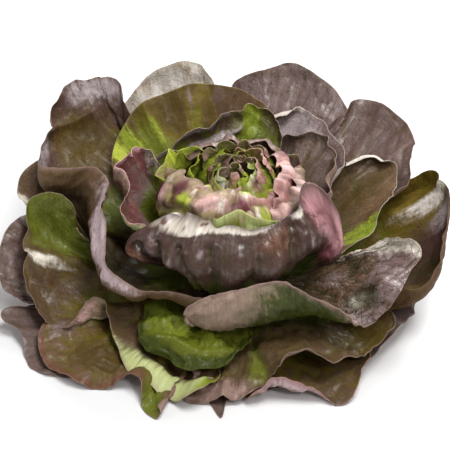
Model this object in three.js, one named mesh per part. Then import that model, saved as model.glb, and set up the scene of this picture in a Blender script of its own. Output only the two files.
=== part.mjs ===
// Head of red butterhead lettuce, cut from its root and standing on the cut.
// Millimetres, +Z up, origin at the centre of the stem's cut face.
// Every leaf is a closed shell of its own. It runs from its seat on the stem to its margin, and the
// leaves are laid one over another from the inside out, as they grow.
import * as THREE from 'three';

// Driving dimensions
const STEM_LENGTH = 52;          // cut face to growing tip
const STEM_FOOT_RADIUS = 13.5;
const CROWN_HEIGHT = 15;         // height of the point that the open leaves fan out from
const HEART_HEIGHT = 66;         // height of the point that the heart leaves wrap round
const OPEN_BLADE = 1;            // thickness of an open leaf's blade
const OPEN_RIB = 2;              // and of its midrib at the foot
const HEART_BLADE = 0.8;
const HEART_RIB = 1.3;
const STEM_GAP = 0.9;            // between a leaf's foot and the stem
const SEAT_GAP = 0.6;            // between the feet of two leaves
const STEM_BERTH = 3.2;          // more room for the ribs beside the foot
const LEAF_GAP = 1.5;            // least space kept between two blades
const FLOOR_GAP = 0.4;           // least height of a leaf over the table

// How the leaves are shaped
const OPEN_ROWS = [0, 0.14, 0.32, 0.52, 0.72, 0.88, 1];   // steps from the foot to the margin
const HEART_ROWS = [0, 0.2, 0.42, 0.64, 0.84, 1];
const SEAT_HALF_ANGLE = 22;      // degrees to each side of a leaf's foot
const NECK_LENGTH = 16;          // how soon a leaf leaves the stem's direction
const SEAT_RISE = 20;            // degrees that a leaf starts steeper than it goes on
const HIGHEST_SEAT = 66;         // elevation of the innermost open leaf's foot on the stem
const MARGIN_BEND = 2.6;         // how late a leaf turns to its margin
const WIDENING = 1.2;            // how early a leaf has reached its breadth
const LEAST_FAN = 0.25;          // degrees that two rays lie apart at least
const FIRST_HEART_SEAT = 12.5;   // distance of the innermost heart leaf's foot under the heart
const HEART_SEAT_STEP = 0.75;
const HEART_WIDENING = 2.4;
const HEART_SWELL = 4;           // how early a heart leaf bellies out
const RIB_TAPER = 2.2;           // how soon the midrib thins out
const RIB_SIDE = 0.35;           // share of the midrib's thickness at the sides of the foot

// How the leaves are laid
const OPEN_CELL = 0.8;           // millimetres of an envelope's cell
const HEART_CELL = 1.0;          // degrees of an envelope's cell
const SAMPLES_PER_CELL = 1.3;
const ENVELOPE_HALF_SPAN = 185;  // the furthest place that an envelope holds
const DENT_LENGTH = 18;          // how far a push drags the leaf round it along
const SETTLE_PASSES = 40;
const SETTLED = 0.01;            // a push this small ends the laying of a leaf
const CORNER_SHARE = 0.15;       // a place this far from a facet's corner does not push that corner
const LEAST_FACING = 0.5;        // a blade seen edge-on is given no more room than this allows
const LIFT_EASE = 0.72;          // share of those gaps that lifting from the table keeps

const RAD = Math.PI / 180;
const lerp = (a, b, t) => a + (b - a) * t;
const smooth = (t) => t * t * (3 - 2 * t);

// The stem's outline, as the distance from the crown point at each elevation.
const STEM_ELEVATIONS = [-48, -20, 0, 45, 62, 76, 84, 90];
const STEM_REACHES = [20, 16.5, 15.5, 17, 20, 25, 31, STEM_LENGTH - CROWN_HEIGHT];
const STEM_SOFTNESS = 0.4;       // 0 keeps straight runs between the heights, 1 rounds them fully
function stemReach(elevation) {
  const last = STEM_ELEVATIONS.length - 1;
  const e = Math.min(Math.max(elevation, STEM_ELEVATIONS[0]), STEM_ELEVATIONS[last]);
  let k = 0;
  while (k < last - 1 && e > STEM_ELEVATIONS[k + 1]) k += 1;
  const t = (e - STEM_ELEVATIONS[k]) / (STEM_ELEVATIONS[k + 1] - STEM_ELEVATIONS[k]);
  return lerp(STEM_REACHES[k], STEM_REACHES[k + 1], lerp(t, smooth(t), STEM_SOFTNESS));
}

// A spread is a set of coordinates in which leaves stack without crossing: `along` runs from the
// foot of a leaf outwards, `azimuth` runs round the head, and `depth` grows towards the outside.
// Open leaves use the crown point, and a leaf that lies lower lies further out.
const OPEN = {
  rows: OPEN_ROWS,
  blade: OPEN_BLADE,
  rib: OPEN_RIB,
  place: (along, azimuth, depth) => new THREE.Vector3(
    along * Math.cos(depth * RAD) * Math.cos(azimuth),
    along * Math.cos(depth * RAD) * Math.sin(azimuth),
    CROWN_HEIGHT - along * Math.sin(depth * RAD),
  ),
  read(point) {
    const rise = point.z - CROWN_HEIGHT;
    const flat = Math.hypot(point.x, point.y);
    return [Math.hypot(flat, rise), Math.atan2(point.y, point.x), -Math.atan2(rise, flat) / RAD];
  },
  millimetres: (along) => along * RAD,
  outward: (point) => {
    const flat = Math.hypot(point.x, point.y) || SETTLED;
    const rise = point.z - CROWN_HEIGHT;
    const along = Math.hypot(flat, rise);
    return new THREE.Vector3(point.x / flat * rise, point.y / flat * rise, -flat).divideScalar(along);
  },
};
// Heart leaves wrap a ball. `along` is the angle from the top, and depth is the radius.
const HEART = {
  rows: HEART_ROWS,
  blade: HEART_BLADE,
  rib: HEART_RIB,
  place: (along, azimuth, depth) => new THREE.Vector3(
    depth * Math.sin(along * RAD) * Math.cos(azimuth),
    depth * Math.sin(along * RAD) * Math.sin(azimuth),
    HEART_HEIGHT + depth * Math.cos(along * RAD),
  ),
  read(point) {
    const rise = point.z - HEART_HEIGHT;
    const flat = Math.hypot(point.x, point.y);
    return [Math.atan2(flat, rise) / RAD, Math.atan2(point.y, point.x), Math.hypot(flat, rise)];
  },
  millimetres: () => 1,
  outward: (point) => new THREE.Vector3(point.x, point.y, point.z - HEART_HEIGHT).normalize(),
};

const MARGIN_SAMPLES = 12;       // places measured between two hand-set points

// A smooth line through the hand-set points of a margin, sampled at equal steps.
function marginLine(keys, columns) {
  const curve = new THREE.CatmullRomCurve3(keys.map((k) => new THREE.Vector3(k[0], k[1], k[2])), false,
    'centripetal');
  const steps = keys.length - 1;
  const lengths = curve.getLengths(steps * MARGIN_SAMPLES);
  const total = lengths[lengths.length - 1];
  const line = [];
  for (let i = 0; i <= columns; i += 1) {
    const wanted = total * i / columns;
    let k = 0;
    while (k < lengths.length - 2 && lengths[k + 1] < wanted) k += 1;
    const t = (k + (wanted - lengths[k]) / (lengths[k + 1] - lengths[k])) / (lengths.length - 1);
    const slot = Math.min(Math.floor(t * steps), steps - 1);
    const lean = lerp(keys[slot][3], keys[slot + 1][3], t * steps - slot);
    line.push({ point: curve.getPoint(Math.min(t, 1)), lean });
  }
  return line;
}

// The azimuths of a margin, made to run one way, so that the rays to it never cross.
function fanned(azimuths) {
  const highest = [];
  azimuths.forEach((a, i) => highest.push(Math.max(a, highest[i - 1] ?? a)));
  const lowest = [];
  azimuths.toReversed().forEach((a, i) => lowest.push(Math.min(a, lowest[i - 1] ?? a)));
  lowest.reverse();
  const spread = (i) => LEAST_FAN * RAD * (i - azimuths.length / 2);
  return azimuths.map((_, i) => (highest[i] + lowest[i]) / 2 + spread(i));
}

// Middle surface of an open leaf: each ray leaves the stem at the seat's elevation, settles to the
// blade's lean within a short neck, and turns up or down to its margin. A lean is an elevation in
// degrees, `bend` is how late the margin turns, and `round` is how early the ray has gone out.
function openGrid(leaf) {
  const line = marginLine(leaf.margin, leaf.columns);
  const bend = leaf.bend ?? MARGIN_BEND;
  const round = leaf.round ?? WIDENING;
  const seatAlong = stemReach(leaf.seat) + STEM_GAP;
  const middle = leaf.azimuth * RAD;
  const rims = line.map(({ point }) => OPEN.read(point));
  const turned = (azimuth) => azimuth - Math.round((azimuth - middle) / (2 * Math.PI)) * 2 * Math.PI;
  const azimuths = fanned(rims.map((rim) => turned(rim[1])));
  const halfSeat = Math.min(SEAT_HALF_ANGLE * RAD, (azimuths.at(-1) - azimuths[0]) / 2);
  return line.map(({ lean }, i) => {
    const [rimAlong, , rimDepth] = rims[i];
    const seatAzimuth = middle + halfSeat * (2 * i / leaf.columns - 1);
    return OPEN.rows.map((v) => {
      const out = 1 - (1 - v) ** round;
      const x = lerp(seatAlong * Math.cos(seatAzimuth), rimAlong * Math.cos(azimuths[i]), out);
      const y = lerp(seatAlong * Math.sin(seatAzimuth), rimAlong * Math.sin(azimuths[i]), out);
      const along = Math.hypot(x, y);
      const neck = Math.exp(-Math.abs(along - seatAlong) / NECK_LENGTH);
      const elevation = lean + (leaf.seat - lean) * neck + (-rimDepth - lean) * v ** bend;
      return [along, Math.atan2(y, x), -elevation];
    });
  });
}

// Middle surface of a heart leaf: it starts at the growing tip and wraps the ball. A lean is the
// radius that the leaf bellies out to.
function heartGrid(leaf) {
  const line = marginLine(leaf.margin, leaf.columns);
  return line.map(({ point, lean }, i) => {
    const [rimAlong, rimAzimuth, rimDepth] = HEART.read(point);
    const seatAzimuth = (leaf.azimuth + SEAT_HALF_ANGLE * (2 * i / leaf.columns - 1)) * RAD;
    let turn = rimAzimuth - seatAzimuth;
    turn -= 2 * Math.PI * Math.round(turn / (2 * Math.PI));
    return HEART.rows.map((v) => {
      const azimuth = seatAzimuth + turn * (1 - (1 - v) ** HEART_WIDENING);
      const depth = lean + (leaf.seat - lean) * (1 - v) ** HEART_SWELL
        + (rimDepth - lean) * v ** MARGIN_BEND;
      return [lerp(leaf.foot, rimAlong, v), azimuth, depth];
    });
  });
}

// Thickness at a grid place: a thick midrib at the foot, thinning to the blade and the margin.
function thickness(spread, grid, i, j) {
  const columns = grid.length - 1;
  const rows = grid[0].length - 1;
  const middle = 1 - Math.abs(2 * i / columns - 1);
  const rib = (1 - j / rows) ** RIB_TAPER * lerp(RIB_SIDE, 1, middle);
  return lerp(spread.blade, spread.rib, rib);
}

// Upward (inner) normals of a grid of points.
function gridNormals(points) {
  const columns = points.length - 1;
  const rows = points[0].length - 1;
  return points.map((ray, i) => ray.map((_, j) => {
    const du = points[Math.min(i + 1, columns)][j].clone().sub(points[Math.max(i - 1, 0)][j]);
    const dv = points[i][Math.min(j + 1, rows)].clone().sub(points[i][Math.max(j - 1, 0)]);
    return dv.cross(du).normalize();
  }));
}

const placed = (spread, grid) => grid.map((ray) => ray.map(([a, z, d]) => spread.place(a, z, d)));

// The two facets of every grid cell, both split from (i, j) to (i + 1, j + 1).
function facets(columns, rows) {
  const list = [];
  for (let i = 0; i < columns; i += 1) {
    for (let j = 0; j < rows; j += 1) {
      list.push([[i, j], [i + 1, j], [i + 1, j + 1]], [[i, j], [i + 1, j + 1], [i, j + 1]]);
    }
  }
  return list;
}

// Envelope: for each cell of the plan, how far the leaves laid so far reach to one side. The side is
// 1 for outwards and -1 for inwards.
function makeEnvelope(side, cell, ease = 1) {
  const across = Math.ceil(2 * ENVELOPE_HALF_SPAN / cell);
  const reach = new Float32Array(across * across).fill(-Infinity);
  return { side, cell, ease, reach, slot: (x, y) => Math.floor(x / cell + across / 2) * across
    + Math.floor(y / cell + across / 2) };
}

function sampleFacet(corners, cell, visit) {
  const flat = corners.map(([a, z, d]) => [a * Math.cos(z), a * Math.sin(z), d]);
  const side = (p, q) => Math.hypot(p[0] - q[0], p[1] - q[1]);
  const span = Math.max(side(flat[0], flat[1]), side(flat[1], flat[2]), side(flat[2], flat[0]));
  const n = Math.max(2, Math.ceil(span / cell * SAMPLES_PER_CELL));
  for (let a = 0; a <= n; a += 1) {
    for (let b = 0; b <= n - a; b += 1) {
      const w = [a / n, b / n, (n - a - b) / n];
      const at = (k) => w[0] * flat[0][k] + w[1] * flat[1][k] + w[2] * flat[2][k];
      visit(at(0), at(1), at(2), w);
    }
  }
}

function addToEnvelope(envelope, grid) {
  for (const facet of facets(grid.length - 1, grid[0].length - 1)) {
    sampleFacet(facet.map(([i, j]) => grid[i][j]), envelope.cell, (x, y, depth) => {
      const slot = envelope.slot(x, y);
      envelope.reach[slot] = Math.max(envelope.reach[slot], envelope.side * depth);
    });
  }
}

// A push at one place drags the places round it along, the less the further they are, so that a
// leaf gives way in a smooth dent.
function spreadPush(points, push) {
  const take = (i, j, a, b) => {
    const near = push[a]?.[b];
    if (!near) return;
    const share = Math.exp(-points[i][j].distanceTo(points[a][b]) / DENT_LENGTH);
    push[i][j] = Math.max(push[i][j], near * share);
  };
  const columns = points.length - 1;
  const rows = points[0].length - 1;
  for (const step of [1, -1]) {
    for (let i = 0; i <= columns; i += 1) {
      for (let j = 0; j <= rows; j += 1) {
        const [a, b] = step > 0 ? [i, j] : [columns - i, rows - j];
        take(a, b, a - step, b);
        take(a, b, a, b - step);
      }
    }
  }
}

// Keep an open leaf's places off the stem and, when it is to lie on the table, over the table.
function holdOff(grid, overTable) {
  grid.forEach((ray, i) => ray.forEach((place, j) => {
    const half = thickness(OPEN, grid, i, j) / 2;
    if (overTable) {
      const sine = Math.min((CROWN_HEIGHT - FLOOR_GAP - half) / place[0], 1);
      place[2] = Math.min(place[2], Math.asin(sine) / RAD);
    }
    const clear = stemReach(-place[2]) + STEM_GAP;
    place[0] = j === 0 ? clear : Math.max(place[0], clear + half + STEM_BERTH);
  }));
}

// Push a leaf to the envelope's side until it clears every leaf in it, then add the leaf to it.
function settle(spread, envelope, grid, overTable) {
  const cells = facets(grid.length - 1, grid[0].length - 1);
  if (spread === OPEN) holdOff(grid, overTable);
  for (let pass = 0; pass < SETTLE_PASSES; pass += 1) {
    const points = placed(spread, grid);
    const normals = gridNormals(points);
    const push = grid.map((ray) => ray.map(() => 0));
    for (const facet of cells) {
      const [ci, cj] = facet[0];
      const facing = Math.abs(normals[ci][cj].dot(spread.outward(points[ci][cj])));
      const gap = lerp(SEAT_GAP, LEAF_GAP, spread.rows[cj]);
      const between = (gap + thickness(spread, grid, ci, cj)) * envelope.ease;
      const room = between / Math.max(facing, LEAST_FACING);
      const scale = spread.millimetres(grid[ci][cj][0]);
      sampleFacet(facet.map(([i, j]) => grid[i][j]), envelope.cell, (x, y, depth, w) => {
        const other = envelope.reach[envelope.slot(x, y)];
        const short = room + (other - envelope.side * depth) * scale;
        if (!(short > 0)) return;
        facet.forEach(([i, j], k) => {
          if (w[k] > CORNER_SHARE) push[i][j] = Math.max(push[i][j], short);
        });
      });
    }
    const largest = Math.max(...push.flat());
    spreadPush(points, push);
    push.forEach((ray, i) => ray.forEach((amount, j) => {
      grid[i][j][2] += envelope.side * amount / spread.millimetres(grid[i][j][0]);
    }));
    if (spread === OPEN) holdOff(grid, overTable);
    if (largest < SETTLED) break;
  }
  addToEnvelope(envelope, grid);
}

// Closed shell of a leaf: upper sheet, lower sheet and the wall round the edge.
function leafGeometry(spread, points) {
  const columns = points.length - 1;
  const rows = points[0].length - 1;
  const normals = gridNormals(points);
  const position = [];
  const index = [];
  for (const side of [0.5, -0.5]) {
    points.forEach((ray, i) => ray.forEach((p, j) => {
      const q = p.clone().addScaledVector(normals[i][j], side * thickness(spread, points, i, j));
      position.push(q.x, q.y, q.z);
    }));
  }
  const upper = (i, j) => i * (rows + 1) + j;
  const lower = (i, j) => upper(i, j) + (columns + 1) * (rows + 1);
  for (const [a, b, c] of facets(columns, rows)) {
    index.push(upper(...a), upper(...c), upper(...b));
    index.push(lower(...a), lower(...b), lower(...c));
  }
  const edge = [];
  for (let i = 0; i < columns; i += 1) edge.push([i, 0]);
  for (let j = 0; j < rows; j += 1) edge.push([columns, j]);
  for (let i = columns; i > 0; i -= 1) edge.push([i, rows]);
  for (let j = rows; j > 0; j -= 1) edge.push([0, j]);
  edge.forEach((a, k) => {
    const b = edge[(k + 1) % edge.length];
    index.push(upper(...a), upper(...b), lower(...b), upper(...a), lower(...b), lower(...a));
  });
  const geometry = new THREE.BufferGeometry();
  geometry.setAttribute('position', new THREE.Float32BufferAttribute(position, 3));
  geometry.setIndex(index);
  geometry.computeVertexNormals();
  return geometry;
}

const COLOURS = {
  purple: 0x4a3038, brown: 0x5a4436, olive: 0x55552a, green: 0x5f8a2c, lime: 0x9dbb3c, rose: 0x7d5560,
  stem: 0xd9d6b4,
};
const LEAF_ROUGHNESS = 0.5;
const STEM_ROUGHNESS = 0.7;

// Heart leaves, innermost first. A margin point is x, y, z and the radius that the leaf bellies to.
const HEART_LEAVES = [
  { name: 'heart_leaf_01', azimuth: 140, foot: 166, colour: 'purple', columns: 8,
    margin: [[10, 2, 84, 14], [7, 10, 94, 16], [-2, 14, 99, 17], [-9, 8, 98, 17], [-8, -3, 92, 16],
      [-2, -8, 84, 14]] },
  { name: 'heart_leaf_02', azimuth: 330, foot: 166, colour: 'lime', columns: 8,
    margin: [[-8, -10, 84, 19], [3, -13, 93, 22], [13, -9, 96, 23], [17, 3, 98, 23], [12, 14, 97, 22],
      [2, 18, 88, 19]] },
  { name: 'heart_leaf_03', azimuth: 100, foot: 166, colour: 'lime', columns: 8,
    margin: [[22, 10, 82, 22], [18, 20, 96, 26], [6, 25, 100, 27], [-6, 22, 101, 27], [-14, 12, 98, 26],
      [-18, 0, 84, 22]] },
  { name: 'heart_leaf_04', azimuth: 240, foot: 166, colour: 'rose', columns: 10,
    margin: [[-24, 8, 80, 25], [-22, -4, 92, 28], [-16, -12, 97, 30], [-4, -17, 96, 30], [10, -19, 94, 30],
      [20, -14, 94, 29], [26, -4, 84, 26]] },
  { name: 'heart_leaf_05', azimuth: 20, foot: 166, colour: 'rose', columns: 10,
    margin: [[20, -18, 82, 29], [27, -8, 94, 33], [33, 2, 97, 35], [33, 13, 98, 36], [25, 21, 98, 35],
      [14, 25, 95, 33], [4, 27, 82, 29]] },
  { name: 'heart_leaf_06', azimuth: 140, foot: 166, colour: 'lime', columns: 10,
    margin: [[4, 27, 84, 32], [-4, 27, 97, 36], [-18, 24, 99, 38], [-30, 20, 97, 39],
      [-37, 12, 93, 39], [-38, 2, 86, 36]] },
  { name: 'heart_leaf_07', azimuth: 330, foot: 168, colour: 'rose', columns: 12,
    margin: [[-6, -28, 76, 34], [6, -27, 88, 38], [18, -25, 86, 40], [30, -22, 88, 42], [40, -12, 92, 43],
      [43, 0, 94, 43], [40, 12, 92, 41], [34, 22, 80, 36]] },
  { name: 'heart_leaf_08', azimuth: 222, foot: 168, colour: 'rose', columns: 12,
    margin: [[-40, 24, 76, 38], [-45, 16, 86, 41], [-46, 6, 94, 42], [-37, -4, 98, 42], [-24, -12, 98, 42],
      [-10, -21, 97, 41], [4, -23, 95, 41], [18, -26, 90, 40], [24, -30, 78, 37]] },
  { name: 'heart_leaf_09', azimuth: 85, foot: 168, colour: 'purple', columns: 10,
    margin: [[41, 19, 80, 38], [36, 26, 92, 42], [24, 33, 99, 43], [11, 33, 102, 43],
      [-4, 31, 102, 43], [-20, 28, 100, 43], [-34, 25, 96, 42], [-42, 22, 84, 40]] },
  { name: 'heart_leaf_10', azimuth: 290, foot: 168, colour: 'olive', columns: 10,
    margin: [[-22, -34, 70, 40], [-8, -38, 82, 43], [6, -40, 85, 44], [20, -36, 84, 44], [34, -28, 82, 44],
      [44, -14, 76, 42]] },
];

// Open leaves, innermost first. A margin point is x, y, z and the blade's elevation.
const OPEN_LEAVES = [
  { name: 'inner_leaf_left', azimuth: 172, colour: 'rose', columns: 12, round: 1.5,
    margin: [[-46, 30, 78, 43], [-58, 32, 92, 43], [-70, 28, 96, 41], [-72, 14, 94, 39], [-66, 2, 92, 37],
      [-72, -8, 82, 35], [-66, -18, 74, 35], [-50, -24, 72, 35]] },
  { name: 'inner_leaf_back', azimuth: 105, colour: 'purple', columns: 12, round: 1.5,
    margin: [[27, 51, 80, 41], [26, 59, 92, 43], [21, 70, 99, 43], [14, 74, 103, 43], [1, 65, 102, 44],
      [-14, 53, 100, 44], [-30, 44, 96, 43], [-44, 36, 90, 42], [-54, 33, 80, 40]] },
  { name: 'inner_leaf_right', azimuth: 35, colour: 'purple', columns: 12, round: 1.5,
    margin: [[58, 10, 74, 35], [62, 24, 84, 37], [64, 38, 88, 38], [58, 50, 92, 39], [44, 56, 94, 40],
      [30, 54, 94, 40], [18, 48, 82, 39]] },
  { name: 'wrapper_leaf', azimuth: 268, colour: 'purple', columns: 24, bend: 3, round: 1.7,
    margin: [[-24, -42, 42, 23], [-44, -36, 52, 27], [-64, -28, 62, 31], [-79, -20, 73, 34],
      [-72, -16, 80, 34], [-58, -26, 84, 32], [-42, -40, 86, 31], [-27, -46, 86, 30], [-12, -45, 87, 29],
      [3, -47, 88, 29], [17, -48, 88, 29], [30, -38, 90, 30], [41, -27, 92, 31], [52, -14, 95, 33],
      [61, -9, 92, 34], [67, -15, 84, 33], [68, -26, 74, 30], [56, -38, 58, 26], [36, -46, 44, 23]] },
  { name: 'middle_leaf_back_left', azimuth: 118, colour: 'olive', columns: 18, bend: 3,
    margin: [[24, 62, 66, 35], [20, 92, 86, 37], [6, 100, 95, 37], [-13, 103, 98, 37], [-28, 104, 99, 36],
      [-43, 96, 97, 35], [-56, 91, 94, 34], [-67, 85, 88, 32], [-75, 72, 78, 30], [-79, 55, 66, 28],
      [-62, 34, 52, 29]] },
  { name: 'middle_leaf_back_right', azimuth: 52, colour: 'purple', columns: 16, bend: 3,
    margin: [[58, 28, 62, 31], [70, 44, 74, 32], [68, 58, 80, 33], [62, 70, 84, 34], [54, 80, 88, 35],
      [44, 88, 92, 36], [30, 88, 93, 37], [17, 84, 90, 37], [10, 62, 72, 37]] },
  { name: 'side_leaf_right', azimuth: 12, colour: 'green', columns: 14, bend: 2.6,
    margin: [[52, -18, 42, 19], [70, -14, 48, 22], [88, -2, 60, 24], [96, 12, 66, 25], [104, 36, 68, 25],
      [105, 50, 70, 26], [94, 56, 75, 28], [76, 52, 77, 30], [56, 42, 66, 31]] },
  { name: 'outer_leaf_back_left', azimuth: 178, colour: 'brown', columns: 30, bend: 3.2, round: 1.5,
    margin: [[-48, 56, 58, 23], [-72, 88, 84, 24], [-80, 102, 94, 24], [-91, 113, 98, 23],
      [-108, 104, 96, 22], [-122, 80, 91, 20], [-126, 54, 83, 17], [-124, 33, 78, 13], [-110, 30, 81, 9],
      [-94, 30, 84, 6], [-85, 20, 84, 5], [-80, 6, 82, 4], [-81, -9, 78, 4], [-82, -22, 71, 5],
      [-83, -31, 64, 6], [-81, -39, 58, 7], [-68, -51, 52, 9], [-46, -56, 47, 11], [-24, -54, 42, 12]] },
  { name: 'outer_leaf_right', azimuth: 312, colour: 'brown', columns: 26, bend: 3.2, round: 1.6,
    margin: [[-14, -46, 36, 7], [-34, -72, 46, 5], [-24, -71, 52, 4], [-12, -70, 55, 3], [-2, -68, 57, 3],
      [9, -67, 59, 4], [24, -64, 62, 6], [39, -68, 61, 9], [53, -74, 55, 11], [67, -79, 48, 13],
      [77, -81, 42, 15], [87, -76, 45, 17], [98, -64, 51, 20], [107, -48, 59, 22], [113, -32, 67, 24],
      [98, -28, 68, 24], [82, -26, 58, 23], [62, -24, 44, 21]] },
  { name: 'outer_leaf_upper_right', azimuth: 32, colour: 'brown', columns: 18, bend: 2.6,
    margin: [[74, 20, 44, 13], [100, 36, 68, 17], [113, 50, 77, 19], [117, 64, 80, 20], [111, 84, 84, 21],
      [101, 97, 86, 22], [88, 104, 86, 23], [76, 102, 83, 24], [66, 84, 74, 25], [44, 58, 54, 25]] },
  { name: 'outer_leaf_far_right', azimuth: 2, colour: 'brown', columns: 26, bend: 3.4, round: 1.7,
    margin: [[64, -28, 26, 3], [92, -38, 34, 1], [103, -37, 40, 0], [113, -42, 41, -1], [120, -38, 42, -1],
      [126, -27, 48, -1], [131, -8, 55, 0], [137, 12, 62, 3], [138, 26, 68, 9], [133, 37, 75, 14],
      [120, 40, 80, 15], [108, 40, 83, 16], [98, 38, 82, 16], [86, 34, 73, 16], [72, 29, 58, 15]] },
  { name: 'outer_leaf_back_right', azimuth: 72, colour: 'purple', columns: 18, bend: 2.8,
    margin: [[52, 64, 50, 21], [74, 98, 82, 22], [68, 111, 90, 23], [55, 123, 96, 24], [42, 130, 99, 25],
      [28, 126, 99, 26], [14, 119, 97, 27], [2, 110, 93, 28], [-4, 78, 70, 27]] },
  { name: 'outer_leaf_back', azimuth: 112, colour: 'brown', columns: 16, bend: 2.8,
    margin: [[-2, 76, 60, 23], [-14, 106, 92, 25], [-23, 122, 103, 26], [-35, 126, 103, 26],
      [-48, 123, 101, 25], [-58, 115, 97, 24], [-68, 106, 91, 23], [-76, 96, 85, 22], [-64, 70, 62, 21]] },
  { name: 'low_leaf_front', azimuth: 248, colour: 'green', columns: 14, bend: 2.4, round: 1.3,
    margin: [[-40, -36, 26, 13], [-58, -54, 26, 14], [-57, -68, 20, 14], [-46, -80, 17, 14],
      [-28, -88, 15, 13], [-10, -88, 16, 12], [2, -76, 20, 10], [9, -62, 24, 8], [7, -49, 26, 8]] },
  { name: 'outer_leaf_left', azimuth: 208, colour: 'green', columns: 34, bend: 3, round: 1.5,
    margin: [[-58, 20, 40, 7], [-98, 0, 58, 7], [-102, 17, 69, 7], [-113, 26, 70, 6], [-122, 29, 68, 4],
      [-129, 20, 58, 3], [-131, 6, 48, 5], [-135, -6, 43, 9], [-134, -18, 36, 2], [-129, -29, 28, -2],
      [-121, -42, 18, -3], [-105, -47, 13, -3], [-96, -42, 21, -2], [-90, -38, 29, 1], [-84, -39, 30, 2],
      [-77, -46, 26, 1], [-71, -60, 19, -3], [-61, -71, 17, -6], [-47, -79, 21, -7], [-33, -88, 23, -7],
      [-19, -98, 24, -7], [-14, -62, 16, -3]] },
  { name: 'small_leaf_left', azimuth: 155, colour: 'brown', columns: 12, bend: 2.4,
    margin: [[-62, 46, 34, 11], [-116, 70, 58, 12], [-128, 66, 64, 13], [-138, 56, 60, 12],
      [-141, 44, 56, 10], [-128, 34, 49, 8], [-84, 18, 34, 8]] },
  { name: 'outer_leaf_front', azimuth: 296, colour: 'brown', columns: 26, bend: 2.6, round: 1.3,
    margin: [[-12, -62, 14, -2], [-28, -98, 15, -3], [-24, -105, 7, -4], [-8, -106, 3, -4],
      [6, -104, 5, -3], [16, -98, 14, -2], [27, -92, 26, 0], [40, -92, 30, 2], [60, -90, 23, 1],
      [79, -81, 20, 1], [91, -70, 22, 1], [97, -57, 32, 4], [72, -34, 28, 6]] },
  { name: 'far_leaf_left', azimuth: 177, colour: 'brown', columns: 14, bend: 2.6,
    margin: [[-72, 28, 26, 1], [-122, 40, 42, 3], [-142, 20, 46, 4], [-149, 8, 40, 3], [-151, -6, 29, 0],
      [-145, -18, 19, -3], [-122, -26, 14, -5], [-76, -24, 12, -4]] },
  { name: 'outer_leaf_lower_left', azimuth: 222, colour: 'olive', columns: 26, bend: 2.6,
    margin: [[-70, -20, 14, -5], [-118, -46, 20, -5], [-121, -61, 10, -6], [-114, -76, 3, -6],
      [-95, -90, 1, -6], [-80, -92, 2, -6], [-70, -92, 6, -6], [-61, -94, 12, -5], [-57, -103, 6, -6],
      [-52, -117, 1, -7], [-46, -116, 2, -7], [-41, -103, 9, -5], [-38, -92, 15, -5], [-22, -60, 10, -5]] },
  { name: 'outer_leaf_lower_right', azimuth: 302, colour: 'olive', columns: 24, bend: 3.4, round: 1.6,
    margin: [[4, -68, 8, -6], [12, -104, 9, -7], [20, -101, 15, -8], [28, -101, 17, -8], [38, -103, 11, -8],
      [50, -102, 7, -8], [62, -107, 1, -7], [70, -102, 6, -6], [75, -88, 14, -5], [80, -76, 16, -5],
      [60, -50, 12, -4]] },
  { name: 'low_leaf_left', azimuth: 200, colour: 'purple', columns: 18, bend: 2.4,
    margin: [[-78, -4, 10, -7], [-130, -26, 24, -4], [-143, -32, 26, -3], [-146, -40, 20, -4],
      [-137, -44, 12, -6], [-131, -58, 6, -7], [-124, -73, 1, -7], [-110, -80, 1, -7], [-84, -72, 1, -7],
      [-50, -40, 4, -7]] },
  { name: 'under_leaf_front', azimuth: 262, colour: 'olive', columns: 20, bend: 2.4,
    margin: [[-62, -50, 6, -6], [-58, -76, 4, -6], [-42, -88, 3, -6], [-24, -97, 3, -7], [-14, -105, 3, -7],
      [-9, -117, 1, -7], [-5, -106, 3, -7], [8, -97, 3, -7], [28, -91, 3, -7], [42, -76, 4, -6],
      [44, -50, 6, -6]] },
];

// Leaves that lie low round the back and under the others. Their margins are plain ruffled arcs.
const LOW_LEAVES = [
  { name: 'low_leaf_back_left', azimuth: 136, reach: 128, rise: 4, waves: 1.6, phase: 0.4 },
  { name: 'low_leaf_back', azimuth: 92, reach: 124, rise: 9, waves: 1.9, phase: 2.1 },
  { name: 'low_leaf_back_right', azimuth: 53, reach: 128, rise: 4, waves: 1.5, phase: 1.2 },
  { name: 'low_leaf_right', azimuth: 350, reach: 118, rise: -2, waves: 1.7, phase: 3.3 },
  { name: 'under_leaf_back', azimuth: 116, reach: 116, rise: -4, waves: 1.8, phase: 2.6 },
];
const LOW_LEAF_HALF_WIDTH = 40;   // degrees to each side
const LOW_LEAF_RUFFLE = 4;        // degrees up and down
const LOW_LEAF_ARC = 0.98;        // share of a half turn that the arc covers
const LOW_LEAF_STEPS = 8;
const LOW_LEAF_COLUMNS = 12;

function ruffledMargin(leaf) {
  const keys = [];
  for (let k = 0; k <= LOW_LEAF_STEPS; k += 1) {
    const t = 2 * k / LOW_LEAF_STEPS - 1;
    const azimuth = (leaf.azimuth + LOW_LEAF_HALF_WIDTH * Math.sin(t * Math.PI / 2)) * RAD;
    const reach = leaf.reach * (1 + Math.sqrt(Math.cos(t * Math.PI / 2 * LOW_LEAF_ARC))) / 2;
    const elevation = leaf.rise + LOW_LEAF_RUFFLE * Math.sin(t * leaf.waves * Math.PI + leaf.phase);
    const point = OPEN.place(reach, azimuth, -elevation);
    keys.push([point.x, point.y, point.z, leaf.rise]);
  }
  return keys;
}

const STEM_CHAMFER = 2;          // height of the worn edge over the cut
const STEM_STEPS = 9;
const STEM_SIDES = 24;

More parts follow.
